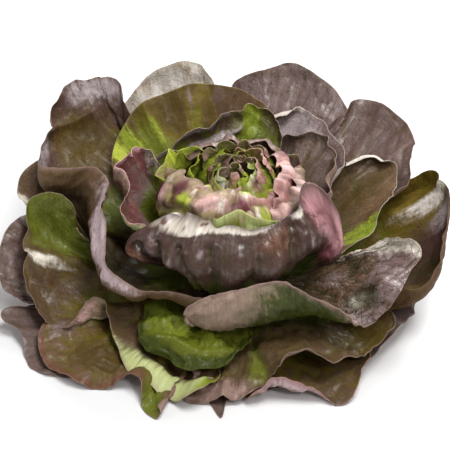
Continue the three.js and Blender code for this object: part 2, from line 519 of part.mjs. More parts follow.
// The stem, turned about the head's axis.
function stemGeometry() {
  const outline = [new THREE.Vector2(0, 0), new THREE.Vector2(STEM_FOOT_RADIUS, 0)];
  const lowest = -Math.atan2(CROWN_HEIGHT - STEM_CHAMFER, STEM_FOOT_RADIUS) / RAD;
  for (let k = 0; k <= STEM_STEPS; k += 1) {
    const elevation = lerp(lowest, 90, k / STEM_STEPS);
    const reach = stemReach(elevation);
    const radius = k === STEM_STEPS ? 0 : reach * Math.cos(elevation * RAD);
    outline.push(new THREE.Vector2(radius, CROWN_HEIGHT + reach * Math.sin(elevation * RAD)));
  }
  return new THREE.LatheGeometry(outline, STEM_SIDES).rotateX(Math.PI / 2);
}

const head = new THREE.Group();

function addPart(name, geometry, colour, roughness) {
  const material = new THREE.MeshStandardMaterial({ color: colour, roughness, metalness: 0 });
  const mesh = new THREE.Mesh(geometry, material);
  mesh.name = name;
  head.add(mesh);
}

addPart('stem', stemGeometry(), COLOURS.stem, STEM_ROUGHNESS);

// The heart is laid first, from its middle outwards.
const heartEnvelope = makeEnvelope(1, HEART_CELL);
const heartShape = makeEnvelope(1, OPEN_CELL);
HEART_LEAVES.forEach((leaf, rank) => {
  leaf.seat = FIRST_HEART_SEAT + HEART_SEAT_STEP * rank;
  const grid = heartGrid(leaf);
  settle(HEART, heartEnvelope, grid, false);
  const points = placed(HEART, grid);
  addToEnvelope(heartShape, points.map((ray) => ray.map((p) => OPEN.read(p))));
  addPart(leaf.name, leafGeometry(HEART, points), COLOURS[leaf.colour], LEAF_ROUGHNESS);
});

// The open leaves are laid round it outwards, and then lifted from the table inwards.
for (const leaf of LOW_LEAVES) {
  leaf.margin = ruffledMargin(leaf);
  leaf.columns = LOW_LEAF_COLUMNS;
  leaf.colour = 'olive';
}
const openLeaves = [...OPEN_LEAVES, ...LOW_LEAVES];
for (const leaf of openLeaves) {
  const meanLean = leaf.margin.reduce((sum, key) => sum + key[3], 0) / leaf.margin.length;
  leaf.seat = Math.min(HIGHEST_SEAT, meanLean + SEAT_RISE);
  leaf.grid = openGrid(leaf);
  settle(OPEN, heartShape, leaf.grid, false);
}
const tableEnvelope = makeEnvelope(-1, OPEN_CELL, LIFT_EASE);
for (const leaf of openLeaves.toReversed()) settle(OPEN, tableEnvelope, leaf.grid, true);
for (const leaf of openLeaves) {
  addPart(leaf.name, leafGeometry(OPEN, placed(OPEN, leaf.grid)), COLOURS[leaf.colour], LEAF_ROUGHNESS);
}

export default head;
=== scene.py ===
from math import cos, pi, radians, sin

import bmesh
import bpy
import numpy as np
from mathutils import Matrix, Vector


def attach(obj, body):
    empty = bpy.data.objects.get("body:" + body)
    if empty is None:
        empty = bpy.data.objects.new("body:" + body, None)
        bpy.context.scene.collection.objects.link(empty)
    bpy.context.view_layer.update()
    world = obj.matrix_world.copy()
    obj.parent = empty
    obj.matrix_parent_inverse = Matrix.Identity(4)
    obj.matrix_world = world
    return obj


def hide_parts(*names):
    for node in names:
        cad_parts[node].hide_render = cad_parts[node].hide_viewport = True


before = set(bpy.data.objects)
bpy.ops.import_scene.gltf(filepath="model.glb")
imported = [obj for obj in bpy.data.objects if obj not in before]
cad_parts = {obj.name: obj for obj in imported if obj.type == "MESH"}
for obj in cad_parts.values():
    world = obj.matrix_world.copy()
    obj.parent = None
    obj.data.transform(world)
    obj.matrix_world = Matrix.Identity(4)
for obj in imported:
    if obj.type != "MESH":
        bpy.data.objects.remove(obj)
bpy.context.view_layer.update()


# ----------------------------------------------
# The stem: the short, thick stalk that every leaf grows from, cut square with a knife. It is
# crisp pale tissue, ringed with the scars of leaves that were pulled off, and the moist cut
# browns in patches. Its side is given as radius and height, in millimetres like the leaves.
MM = 0.001
STEM_SIDE = [(13.5, 0), (14.2, 1.4), (14.9, 6), (15.3, 12), (15, 18), (13.4, 24), (11.6, 28),
             (9.2, 33), (6.2, 39), (3.2, 45.5), (1.3, 49.6), (0, 52)]
STEM_INSET = 0.2
STEM_ROUND = 72
STEM_LEVELS = np.concatenate([[0], np.linspace(0.5, 51.4, 60)])
STEM_TOP = 51.8
SCAR_HEIGHTS = (4, 8.5, 12.5)
SCAR_DEPTH = 0.5
SCAR_HALF_HEIGHT = 0.6
SCAR_WANDER = 0.8
STEM_FLUTES = 5
FLUTE_DEPTH = 0.25


class Paint:
    """A socket of a material's nodes, with the operators that shader sums need."""

    def __init__(self, tree, socket):
        self.tree = tree
        self.socket = socket

    def node(self, kind, settings=None, out=0, **sockets):
        """Adds a node: its settings first, then the values or links of its sockets.

        A socket goes by its name, with _ for a space, or by its number, as i0.
        """
        made = self.tree.nodes.new(kind)
        for key, value in (settings or {}).items():
            setattr(made, key, value)
        for key, value in sockets.items():
            numbered = key[0] == "i" and key[1:].isdigit()
            socket = made.inputs[int(key[1:]) if numbered else key.replace("_", " ")]
            if isinstance(value, Paint):
                self.tree.links.new(value.socket, socket)
            elif hasattr(value, "__len__") and socket.type == "RGBA" and len(value) == 3:
                socket.default_value = (*value, 1)
            else:
                socket.default_value = value
        return Paint(self.tree, made.outputs[out])

    def sum(self, operation, *values):
        """A Math node's result for numbers or Paints."""
        sockets = {"i%d" % k: value for k, value in enumerate(values)}
        return self.node("ShaderNodeMath", {"operation": operation}, **sockets)

    def vector_sum(self, operation, **sockets):
        return self.node("ShaderNodeVectorMath", {"operation": operation}, **sockets)

    def __add__(self, other):
        return self.sum("ADD", self, other)

    def __sub__(self, other):
        return self.sum("SUBTRACT", self, other)

    def __mul__(self, other):
        return self.sum("MULTIPLY", self, other)

    def __rsub__(self, other):
        return self.sum("SUBTRACT", other, self)

    __radd__ = __add__
    __rmul__ = __mul__

    def between(self, low, high):
        """0 below low, 1 above high, and smooth between."""
        return self.node("ShaderNodeMapRange", {"interpolation_type": "SMOOTHSTEP"}, Value=self,
                         From_Min=low, From_Max=high)

    def mix(self, first, second, share, blend="MIX"):
        """Two colours in a share, or one painted over the other by another blend."""
        return self.node("ShaderNodeMix", {"data_type": "RGBA", "blend_type": blend}, out=2,
                         i0=share, i6=first, i7=second)

    def attribute(self, name, out="Fac"):
        return self.node("ShaderNodeAttribute", {"attribute_name": name}, out=out)

    def noise(self, place, size, detail=2.0, rough=0.5):
        """Cloudy noise of 0 to 1 whose clouds are about that size, in the unit of place."""
        return self.node("ShaderNodeTexNoise", Vector=place, Scale=1 / size, Detail=detail,
                         Roughness=rough)


def new_material(name):
    """An empty material, its first Paint, and a function that closes it on a Principled BSDF."""
    material = bpy.data.materials.new(name)
    material.use_nodes = True
    tree = material.node_tree
    tree.nodes.clear()
    output = tree.nodes.new("ShaderNodeOutputMaterial")
    paint = Paint(tree, None)

    def close(**sockets):
        skin = paint.node("ShaderNodeBsdfPrincipled", **sockets)
        tree.links.new(skin.socket, output.inputs["Surface"])
        return material

    return paint, close


def mesh_object(name, points, faces, material, node, slot):
    """A smooth mesh in place of a CAD node, riding with the head. Points are in millimetres."""
    mesh = bpy.data.meshes.new(name)
    mesh.from_pydata((np.asarray(points) * MM).tolist(), [], faces)
    mesh.polygons.foreach_set("use_smooth", np.ones(len(mesh.polygons), bool))
    mesh.materials.append(material)
    piece = bpy.data.objects.new(name, mesh)
    bpy.context.scene.collection.objects.link(piece)
    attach(piece, "root")
    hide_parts(node)
    return piece


def stem_shell():
    """The stalk turned round the head's axis, with its scars and its square cut."""
    reach, heights = np.array(STEM_SIDE, float).T
    turn = np.linspace(0, 2 * pi, STEM_ROUND, endpoint=False)
    points = []
    for z in STEM_LEVELS:
        radius = np.interp(z, heights, reach)
        for k, scar in enumerate(SCAR_HEIGHTS):
            above = z - scar - SCAR_WANDER * np.sin(2 * turn + 2 * k)
            radius = radius - SCAR_DEPTH * np.exp(-(above / SCAR_HALF_HEIGHT) ** 2)
        flutes = FLUTE_DEPTH * np.sin(STEM_FLUTES * turn + z / 7) * (z > 0)
        radius = radius + flutes - STEM_INSET
        points += [(r * cos(a), r * sin(a), z) for r, a in zip(radius, turn)]
    faces = []
    for ring in range(len(STEM_LEVELS) - 1):
        for k in range(STEM_ROUND):
            a, b = ring * STEM_ROUND + k, ring * STEM_ROUND + (k + 1) % STEM_ROUND
            faces.append((a, b, b + STEM_ROUND, a + STEM_ROUND))
    points += [(0, 0, 0), (0, 0, STEM_TOP)]
    foot, top = len(points) - 2, len(points) - 1
    last = (len(STEM_LEVELS) - 1) * STEM_ROUND
    for k in range(STEM_ROUND):
        after = (k + 1) % STEM_ROUND
        faces.append((foot, after, k))
        faces.append((top, last + k, last + after))
    return points, faces


STEM_PALE = (0.62, 0.66, 0.4)
STEM_WHITE = (0.83, 0.82, 0.66)
CUT_BROWN = (0.42, 0.2, 0.1)


def stem_skin():
    """Pale, fibrous tissue, with the cut at the foot browned in patches."""
    paint, close = new_material("stem_tissue")
    place = paint.node("ShaderNodeTexCoord", out="Object")
    millimetres = paint.vector_sum("SCALE", Vector=place, Scale=1 / MM)
    height = paint.node("ShaderNodeSeparateXYZ", out=2, Vector=millimetres)
    cloud = paint.noise(millimetres, 5.0, 4.0)
    fibre = paint.noise(millimetres, 1.1, 3.0, 0.6)
    cut = 1 - height.between(0.0, 0.8)
    brown = (cut * cloud.between(0.42, 0.7)) * 0.7
    colour = paint.mix(STEM_PALE, STEM_WHITE, cloud.between(0.3, 0.7))
    colour = paint.mix(colour, CUT_BROWN, brown)
    bump = paint.node("ShaderNodeBump", Strength=0.4, Distance=0.0004, Height=fibre)
    return close(Base_Color=colour, Roughness=0.42 + 0.2 * fibre, Normal=bump,
                 Subsurface_Weight=0.1, Subsurface_Radius=(0.004, 0.004, 0.002))


points, faces = stem_shell()
mesh_object("cut_stem", points, faces, stem_skin(), "stem", "stem")


# ----------------------------------------------
# The heart: ten young leaves folded over one another above the stem's tip, round eleven bud
# leaves. Each is one thin, crumpled blade on a soft rib, lime green where it is shaded and
# flushed pink and purple where light reaches it, with a waxy inner face and a duller back.
GROWING_TIP = Vector((0, 0, 52 * MM))
HEART_ROWS = (0, 0.2, 0.42, 0.64, 0.84, 1)
WELD_DISTANCE = 0.02 * MM


def upper_sheet(node, rows):
    """A leaf's upper side in the frame, in millimetres, as rays from the foot to the margin."""
    shell = bmesh.new()
    shell.from_mesh(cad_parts[node].data)
    bmesh.ops.remove_doubles(shell, verts=shell.verts, dist=WELD_DISTANCE)
    shell.verts.index_update()
    place = [v.co.copy() for v in shell.verts]
    beside = [len(v.link_edges) for v in shell.verts]
    onward = {}
    for face in shell.faces:
        a, b, c = (v.index for v in face.verts)
        onward[a, b], onward[b, c], onward[c, a] = c, a, b
    shell.free()

    def straight(a, b):
        """The points passed by going straight on from a to b and over the flat ones."""
        path = [a, b]
        while beside[path[-1]] == 6 and len(path) <= rows:
            came, here = path[-2:]
            for _ in range(3):
                came = onward[came, here]
            path.append(came)
        return path

    def next_ray(ray):
        """The ray beside one, found across the faces between them."""
        outer = [onward[ray[j], ray[j + 1]] for j in range(rows)]
        return [onward[ray[0], outer[0]]] + outer

    corners = [k for k in range(len(place)) if beside[k] == 4]
    corners.sort(key=lambda k: -(place[k] - GROWING_TIP).length)
    sides = []
    for corner in corners[:2]:
        for other in [b for a, b in onward if a == corner]:
            path = straight(corner, other)
            if len(path) == rows + 1 and beside[path[-1]] == 5:
                sides.append(path[::-1])
    sheet = [max(sides, key=lambda ray: (place[next_ray(ray)[-1]] - place[ray[-1]]).length)]
    while len(sheet) < len(place) // (2 * (rows + 1)):
        sheet.append(next_ray(sheet[-1]))
    if len({k for ray in sheet for k in ray}) != len(place) // 2:
        raise ValueError(node + " isn't a leaf of rays and rows")
    return np.array([[place[k] for k in ray] for ray in sheet]) / MM


def curve_through(knots, values, at):
    """A smooth curve (natural cubic spline) through values at knots, read at other places."""
    knots, values = np.asarray(knots, float), np.asarray(values, float)
    n = len(knots)
    step = np.diff(knots)
    rise = np.diff(values, axis=0) / step.reshape(-1, *[1] * (values.ndim - 1))
    system = np.eye(n)
    right = np.zeros_like(values)
    for k in range(1, n - 1):
        system[k, k - 1:k + 2] = step[k - 1], 2 * (step[k - 1] + step[k]), step[k]
        right[k] = 6 * (rise[k] - rise[k - 1])
    second = np.linalg.solve(system, right.reshape(n, -1)).reshape(values.shape)
    k = np.clip(np.searchsorted(knots, at) - 1, 0, n - 2)
    shape = (-1, *[1] * (values.ndim - 1))
    h = step[k].reshape(shape)
    a = (knots[k + 1] - at).reshape(shape) / h
    b = 1 - a
    return (a * values[k] + b * values[k + 1]
            + ((a ** 3 - a) * second[k] + (b ** 3 - b) * second[k + 1]) * h * h / 6)


def strides(points, axis=0):
    """Distances from each point to the next."""
    return np.linalg.norm(np.diff(points, axis=axis), axis=-1)


def unit(directions):
    return directions / np.maximum(np.linalg.norm(directions, axis=-1, keepdims=True), 1e-9)


def soft(low, high, x):
    """0 below low, 1 above high, and smooth between."""
    t = np.clip((x - low) / (high - low), 0, 1)
    return t * t * (3 - 2 * t)


def ripple(x, y, size, seed, waves=14):
    """Smooth random ups and downs of about -1 to 1, with bumps of about that size."""
    rng = np.random.RandomState(seed)
    total = np.zeros_like(x)
    for _ in range(waves):
        heading, phase = rng.uniform(0, 2 * pi, 2)
        length = size * rng.uniform(1.4, 2.8)
        total += np.sin((x * cos(heading) + y * sin(heading)) * 2 * pi / length + phase)
    return total / np.sqrt(waves)


def grow_veins(length, spread, seed):
    """The veins of a flat leaf, as segments with a strength: x across, y from the foot."""
    rng = np.random.RandomState(seed)
    starts, ends, strength = [], [], []
    stride = 4.0
    side_ribs = 7

    def run(x, y, heading, turn, reach, power):
        path = [(x, y, heading)]
        for k in range(int(reach / stride)):
            bent = heading + turn * (k * stride / reach) + rng.uniform(-0.06, 0.06)
            starts.append((x, y))
            strength.append(power * (1 - 0.75 * k * stride / reach))
            x, y = x + stride * sin(bent), y + stride * cos(bent)
            ends.append((x, y))
            path.append((x, y, bent))
        return path

    midrib = run(0, 0, rng.uniform(-0.04, 0.04), rng.uniform(-0.1, 0.1), length * 1.02, 1.0)
    for side in (-1, 1):
        for k in range(side_ribs):
            rank = k + 0.25 * side + rng.uniform(0.26, 0.8)
            along = (0.03 + 0.78 * (rank / side_ribs) ** 1.15) * length
            x, y, _ = midrib[min(int(along / stride), len(midrib) - 1)]
            wide = spread * (1 - 0.62 * k / side_ribs) + rng.uniform(-0.14, 0.14)
            lateral = run(x, y, side * wide, -side * rng.uniform(0.1, 0.5) * wide,
                          length * (1.05 - 0.09 * k), 0.62 - 0.04 * k)
            for m in range(3, len(lateral) - 3, 4):
                lx, ly, bent = lateral[m]
                branch = 1 if (m // 4) % 2 else -1
                run(lx, ly, bent + branch * rng.uniform(0.55, 0.85), -branch * 0.25,
                    rng.uniform(16, 30), 0.3)
    return np.array(starts), np.array(ends), np.array(strength)


def from_veins(x, y, veins):
    """Distance to the nearest vein, less what is nearer a strong one, and a vein's own mask."""
    starts, ends, strength = veins
    flat = np.stack([x.ravel(), y.ravel()], 1)
    nearest = np.full(len(flat), 1e9)
    mask = np.zeros(len(flat))
    along = ends - starts
    long2 = (along ** 2).sum(1)
    for a, d, l2, power in zip(starts, along, long2, strength):
        off = flat - a
        t = np.clip((off @ d) / l2, 0, 1)
        away = np.hypot(off[:, 0] - t * d[0], off[:, 1] - t * d[1])
        nearest = np.minimum(nearest, away + 1.6 * (1 - power))
        mask = np.maximum(mask, power * np.exp(-(away / (0.5 + 1.1 * power)) ** 2))
    return nearest.reshape(x.shape), mask.reshape(x.shape)


def pillows(x, y, size, seed):
    """Rounded blisters with creases between them: 0 in a crease and about 1 on top."""
    sway_x = 0.35 * size * ripple(x, y, 1.5 * size, seed + 1, 7)
    sway_y = 0.35 * size * ripple(x, y, 1.5 * size, seed + 2, 7)
    x, y = x + sway_x, y + sway_y
    low_x, low_y = x.min() - 2 * size, y.min() - 2 * size
    across = int((x.max() - low_x) / size) + 3
    up = int((y.max() - low_y) / size) + 3
    tops = np.random.RandomState(seed).uniform(0.08, 0.92, (across, up, 2))
    column = ((x - low_x) / size).astype(int)
    row = ((y - low_y) / size).astype(int)
    near, next_near = np.full(x.shape, 1e9), np.full(x.shape, 1e9)
    for dx in (-1, 0, 1):
        for dy in (-1, 0, 1):
            c, r = np.clip(column + dx, 0, across - 1), np.clip(row + dy, 0, up - 1)
            away = np.hypot(x - low_x - (c + tops[c, r, 0]) * size,
                            y - low_y - (r + tops[c, r, 1]) * size)
            next_near = np.minimum(next_near, np.maximum(near, away))
            near = np.minimum(near, away)
    dome = np.clip(1.1 - 0.7 * (near / size) ** 2, 0, 1)
    return soft(0, 0.5, (next_near - near) / size) * dome


def creases(x, y, size, seed):
    """Sharp ridges with round hollows between them: 1 on a ridge and about -1 in a hollow."""
    return 1 - 2 * np.abs(ripple(x, y, size, seed, 7))


def face_normals(fine):
    """Directions that stand out of a leaf's inner face, one at each point."""
    return unit(np.cross(np.gradient(fine, axis=1), np.gradient(fine, axis=0)))


def frills(fine, wave, seed):
    """Waves that run along a margin, in lengths that drift, as a number for each ray."""
    edge = np.concatenate([[0], np.cumsum(strides(fine[:, -1]))])
    rng = np.random.RandomState(seed)
    total = np.zeros(len(edge))
    for scale, share in ((1.0, 1.0), (0.52, 0.4), (0.26, 0.1)):
        drift = ripple(edge, np.zeros(len(edge)), 2.5 * wave, seed + int(100 * scale), 6)
        start = rng.uniform(0, 2 * pi)
        total += share * np.sin(edge * 2 * pi / (wave * scale) + start + 1.8 * drift)
    return total


def marks(u, v, places):
    """Soft round marks on a leaf, each at (u, v) with its half sizes and strength."""
    total = np.zeros((len(u), len(v)))
    for at_u, at_v, wide, tall, amount in places:
        total += amount * np.exp(-((u[:, None] - at_u) / wide) ** 2
                                 - ((v[None, :] - at_v) / tall) ** 2)
    return total


# the fine grid of a leaf, and where and how far its relief reaches
RAY_LIMITS = (40, 250)
ROW_LIMITS = (36, 90)
ROW_SPACING = 0.85
CLOSER_AT_MARGIN = 1.25
FAN_RING = 0.72
WIDEST_FAN = 2.9
WIDEST_VEINS = 1.25
BLISTER_RISE = 1.2
CREASE_HALF_WIDTH = 0.14
SWAY_SIZE = 26.0
RIB_HALF_WIDTH = 1.6
RIM_WIDTH = 4


def leaf_points(sheet, rows, seed, blister=0.4, crumple=0.6, cell=13, sway=1.3, crack=0.2,
                ruffle=2, wave=38, notch=0.8, folds=(), swells=(), rolls=(), step=1.9):
    """The fine middle surface of a leaf, its normals, and the masks for its skin.

    Blister, crumple, sway, ruffle and notch are heights, and cell, wave and step are lengths, all
    in mm. u runs along the margin and v from the foot to the margin, both from 0 to 1.
    A fold is (u, v, u, v, width, height), a ridge or a hollow between two places, and may end with
    the strength of a rib along it.
    A swell is (u, v, half width, half length, height).
    A roll is ((first, full, last, end), degrees, width, extra length, sharpness) along u.
    """
    columns = np.linspace(0, 1, len(sheet))
    margin = strides(sheet[:, -1]).sum()
    reach = strides(sheet, 1).sum(1).max()
    nu = int(np.clip(margin / step, *RAY_LIMITS))
    nv = int(np.clip(reach / (step * ROW_SPACING), *ROW_LIMITS))
    u = np.linspace(0, 1, nu)
    v = 1 - (1 - np.linspace(0, 1, nv)) ** CLOSER_AT_MARGIN
    fine = curve_through(columns, sheet, u)
    fine = curve_through(rows, fine.transpose(1, 0, 2), v).transpose(1, 0, 2)

    # the leaf as it would lie when pressed flat: rays keep their length and open as a fan
    along = np.zeros((nu, nv))
    along[:, 1:] = np.cumsum(strides(fine, 1), axis=1)
    ring = int(np.searchsorted(v, FAN_RING))
    opening = strides(fine[:, ring]) / np.maximum((along[1:, ring] + along[:-1, ring]) / 2, 1)
    angle = np.concatenate([[0], np.cumsum(opening)])
    angle = np.clip(angle - np.interp(0.5, u, angle), -WIDEST_FAN, WIDEST_FAN)
    x, y = along * np.sin(angle)[:, None], along * np.cos(angle)[:, None]

    # blisters rise between the veins, and creases are left from the bud
    veins = grow_veins(along[nu // 2, -1], min(WIDEST_VEINS, np.abs(angle).max() * 0.8), seed)
    away, vein = from_veins(x, y, veins)
    opened = soft(0.05, 0.35, v)[None, :]
    pillow = pillows(x, y, cell, seed + 1)
    # the creases between blisters join the vein mask, so the skin darkens them towards its shade
    # colour: painted shade in the creases
    vein = np.maximum(vein, crack * np.exp(-(pillow / CREASE_HALF_WIDTH) ** 2) * opened)
    bulge = BLISTER_RISE * (1 - np.exp(-(away / 4.5) ** 1.6)) + BLISTER_RISE * pillow
    relief = blister * (bulge - bulge.mean()) * opened
    relief += crumple * creases(x, y, 2.4 * cell, seed + 2) * opened
    relief += 0.4 * crumple * creases(x, y, 1.1 * cell, seed + 8) * opened
    relief += sway * ripple(x, y, SWAY_SIZE, seed + 6) * soft(0.3, 0.7, v)[None, :]

    # folds are given one by one: a sharp ridge or hollow between two places on the leaf
    folded = np.zeros_like(x)
    for u0, v0, u1, v1, width, height, *ribbed in folds:
        i0, i1 = int(u0 * (nu - 1)), int(u1 * (nu - 1))
        j0, j1 = min(np.searchsorted(v, v0), nv - 1), min(np.searchsorted(v, v1), nv - 1)
        ax, ay, dx, dy = x[i0, j0], y[i0, j0], x[i1, j1] - x[i0, j0], y[i1, j1] - y[i0, j0]
        t = np.clip(((x - ax) * dx + (y - ay) * dy) / max(dx * dx + dy * dy, 1e-6), 0, 1)
        off = np.sqrt((x - ax - t * dx) ** 2 + (y - ay - t * dy) ** 2 + 0.6)
        fold = height * np.exp(-off / width)
        folded = np.where(np.abs(fold) > np.abs(folded), fold, folded)
        # a rib paints the vein colour along the fold: partly a vein's own green, partly painted
        # shade in a deep groove
        for strength in ribbed:
            vein = np.maximum(vein, strength * np.exp(-(off / RIB_HALF_WIDTH) ** 2))
    relief = relief + folded * opened + marks(u, v, swells)

    # ruffles run in and out along the margin and die away towards the foot
    calm = soft(0, 0.05, u) * soft(0, 0.05, 1 - u)
    outer = soft(0.5, 1.05, v) ** 1.5
    relief = relief + ruffle * (frills(fine, wave, seed + 3) * calm)[:, None] * outer[None, :]
    outward = unit(np.gradient(fine, axis=1))
    ragged = notch * frills(fine, 0.7 * wave, seed + 9)
    normal = face_normals(fine)
    fine = fine + normal * relief[..., None]
    fine = fine + outward * (ragged[:, None] * soft(0.7, 1, v)[None, :])[..., None]

    for (first, full, last, end), turn, width, extra, sharp in rolls:
        share = soft(first, full, u) * (1 - soft(last, end, u))
        roll_margin(fine, along, normal, share, radians(turn), width, extra, sharp)

    left = along[:, -1:] - along
    across = angle[:, None] * 0.8 * reach + 0 * along
    return {"points": fine, "normal": face_normals(fine), "x": x, "y": y, "u": u, "v": v,
            "across": across, "along": along, "left": left, "vein": vein, "bulge": bulge,
            "rim": np.exp(-left / RIM_WIDTH)}


NEIGHBOUR_SHARES = (1, 2, 3, 4, 5, 4, 3, 2, 1)


def evened(directions):
    """Directions of neighbouring rays, averaged so that a turn runs on smoothly."""
    directions = unit(directions)
    beyond = len(NEIGHBOUR_SHARES) // 2
    padded = np.pad(directions, ((beyond, beyond), (0, 0)), mode="edge")
    total = sum(share * padded[k:k + len(directions)] for k, share in enumerate(NEIGHBOUR_SHARES))
    return unit(total)


def roll_margin(fine, along, normal, share, turn, width, extra, sharp):
    """Turns the end of each ray over, inwards for a positive turn, and lengthens it."""
    rays = np.nonzero(share > 0.01)[0]
    starts = [min(max(int(np.searchsorted(along[i], along[i, -1] - width)), 2), fine.shape[1] - 3)
              for i in rays]
    outs = evened(np.array([fine[i, j] - fine[i, max(j - 4, 0)] for i, j in zip(rays, starts)]))
    ups = np.array([normal[i, j] for i, j in zip(rays, starts)])
    ups = evened(ups - outs * (ups * outs).sum(1, keepdims=True))
    for i, first, out, up in zip(rays, starts, outs, ups):
        kept = along[i, -1] - along[i, first]
        place = fine[i, first].copy()
        for j in range(first + 1, fine.shape[1]):
            t = (along[i, j] - along[i, first]) / kept
            bent = turn * share[i] * min(1, sharp * t)
            stride = (along[i, j] - along[i, j - 1]) * (kept + extra * share[i]) / kept
            place = place + (out * cos(bent) + up * sin(bent)) * stride
            keep = fine[i, j] - fine[i, first]
            wander = normal[i, first] * (keep @ normal[i, first]) * (1 - share[i])
            fine[i, j] = (place + wander) * share[i] + fine[i, j] * (1 - share[i])


# how thin a leaf gets towards its margin, and how close it comes to the table
MARGIN_SHARE = 0.4
MARGIN_WIDTH = 5
LOWEST_FACE = 0.9
LOWEST_BACK = 0.3


def leaf_shell(leaf, blade, rib):
    """Closes a leaf's middle surface into a shell with a fleshy rib and a thin margin."""
    thin = blade * (MARGIN_SHARE + (1 - MARGIN_SHARE) * soft(0, MARGIN_WIDTH, leaf["left"]))
    foot = (1 - leaf["v"][None, :]) ** 2.2 * (1 - np.abs(2 * leaf["u"][:, None] - 1) * 0.6)
    lower = thin * 0.5 + 0.8 * leaf["vein"] * blade + foot * rib
    top = leaf["points"] - leaf["normal"] * 0.5 * blade
    both = np.concatenate([(top + leaf["normal"] * 0.5 * thin[..., None]).reshape(-1, 3),
                           (top - leaf["normal"] * lower[..., None]).reshape(-1, 3)])
    nu, nv = leaf["x"].shape
    under = nu * nv
    both[:under, 2] = np.maximum(both[:under, 2], LOWEST_FACE)
    both[under:, 2] = np.maximum(both[under:, 2], LOWEST_BACK)
    index = np.arange(under).reshape(nu, nv)
    a, b, c, d = index[:-1, :-1], index[1:, :-1], index[1:, 1:], index[:-1, 1:]
    quads = [np.stack([a, d, c, b], -1).reshape(-1, 4),
             np.stack([a, b, c, d], -1).reshape(-1, 4) + under]
    loop = np.concatenate([index[:-1, 0], index[-1, :-1], index[:0:-1, -1], index[0, :0:-1]])
    after = np.roll(loop, -1)
    quads.append(np.stack([loop, after, after + under, loop + under], -1))
    return both, np.concatenate(quads)


def leaf_piece(name, node, leaf, blade, rib, tint, spots, material, slot):
    """The leaf's piece, with what its skin needs kept at each point of the mesh."""
    points, quads = leaf_shell(leaf, blade, rib)
    piece = mesh_object(name, points, quads.tolist(), material, node, slot)
    attributes = piece.data.attributes
    count = leaf["x"].size
    for label, first, second in (("flat", "x", "y"), ("fan", "across", "along")):
        place = np.zeros((2 * count, 3), np.float32)
        place[:, 0] = np.tile(leaf[first].ravel(), 2)
        place[:, 1] = np.tile(leaf[second].ravel(), 2)
        attributes.new(label, "FLOAT_VECTOR", "POINT").data.foreach_set("vector", place.ravel())
    skin = np.ones((2 * count, 4), np.float32)
    for k, part in enumerate((tint, leaf["vein"], leaf["rim"])):
        skin[:, k] = np.tile(part.ravel(), 2)
    attributes.new("skin", "FLOAT_COLOR", "POINT").data.foreach_set("color", skin.ravel())
    parts = {"under": np.repeat([0.0, 1.0], count)}
    parts.update(("spot_%d" % k, spot) for k, spot in enumerate(spots))
    for label, part in parts.items():
        part = np.asarray(part, np.float32).ravel()
        attributes.new(label, "FLOAT", "POINT").data.foreach_set("value", part)


# the skin's fine pattern, in millimetres
STREAK_SQUEEZE = 0.11
CRACK_SPACING = 5.5
CRACK_DRIFT = 7.0


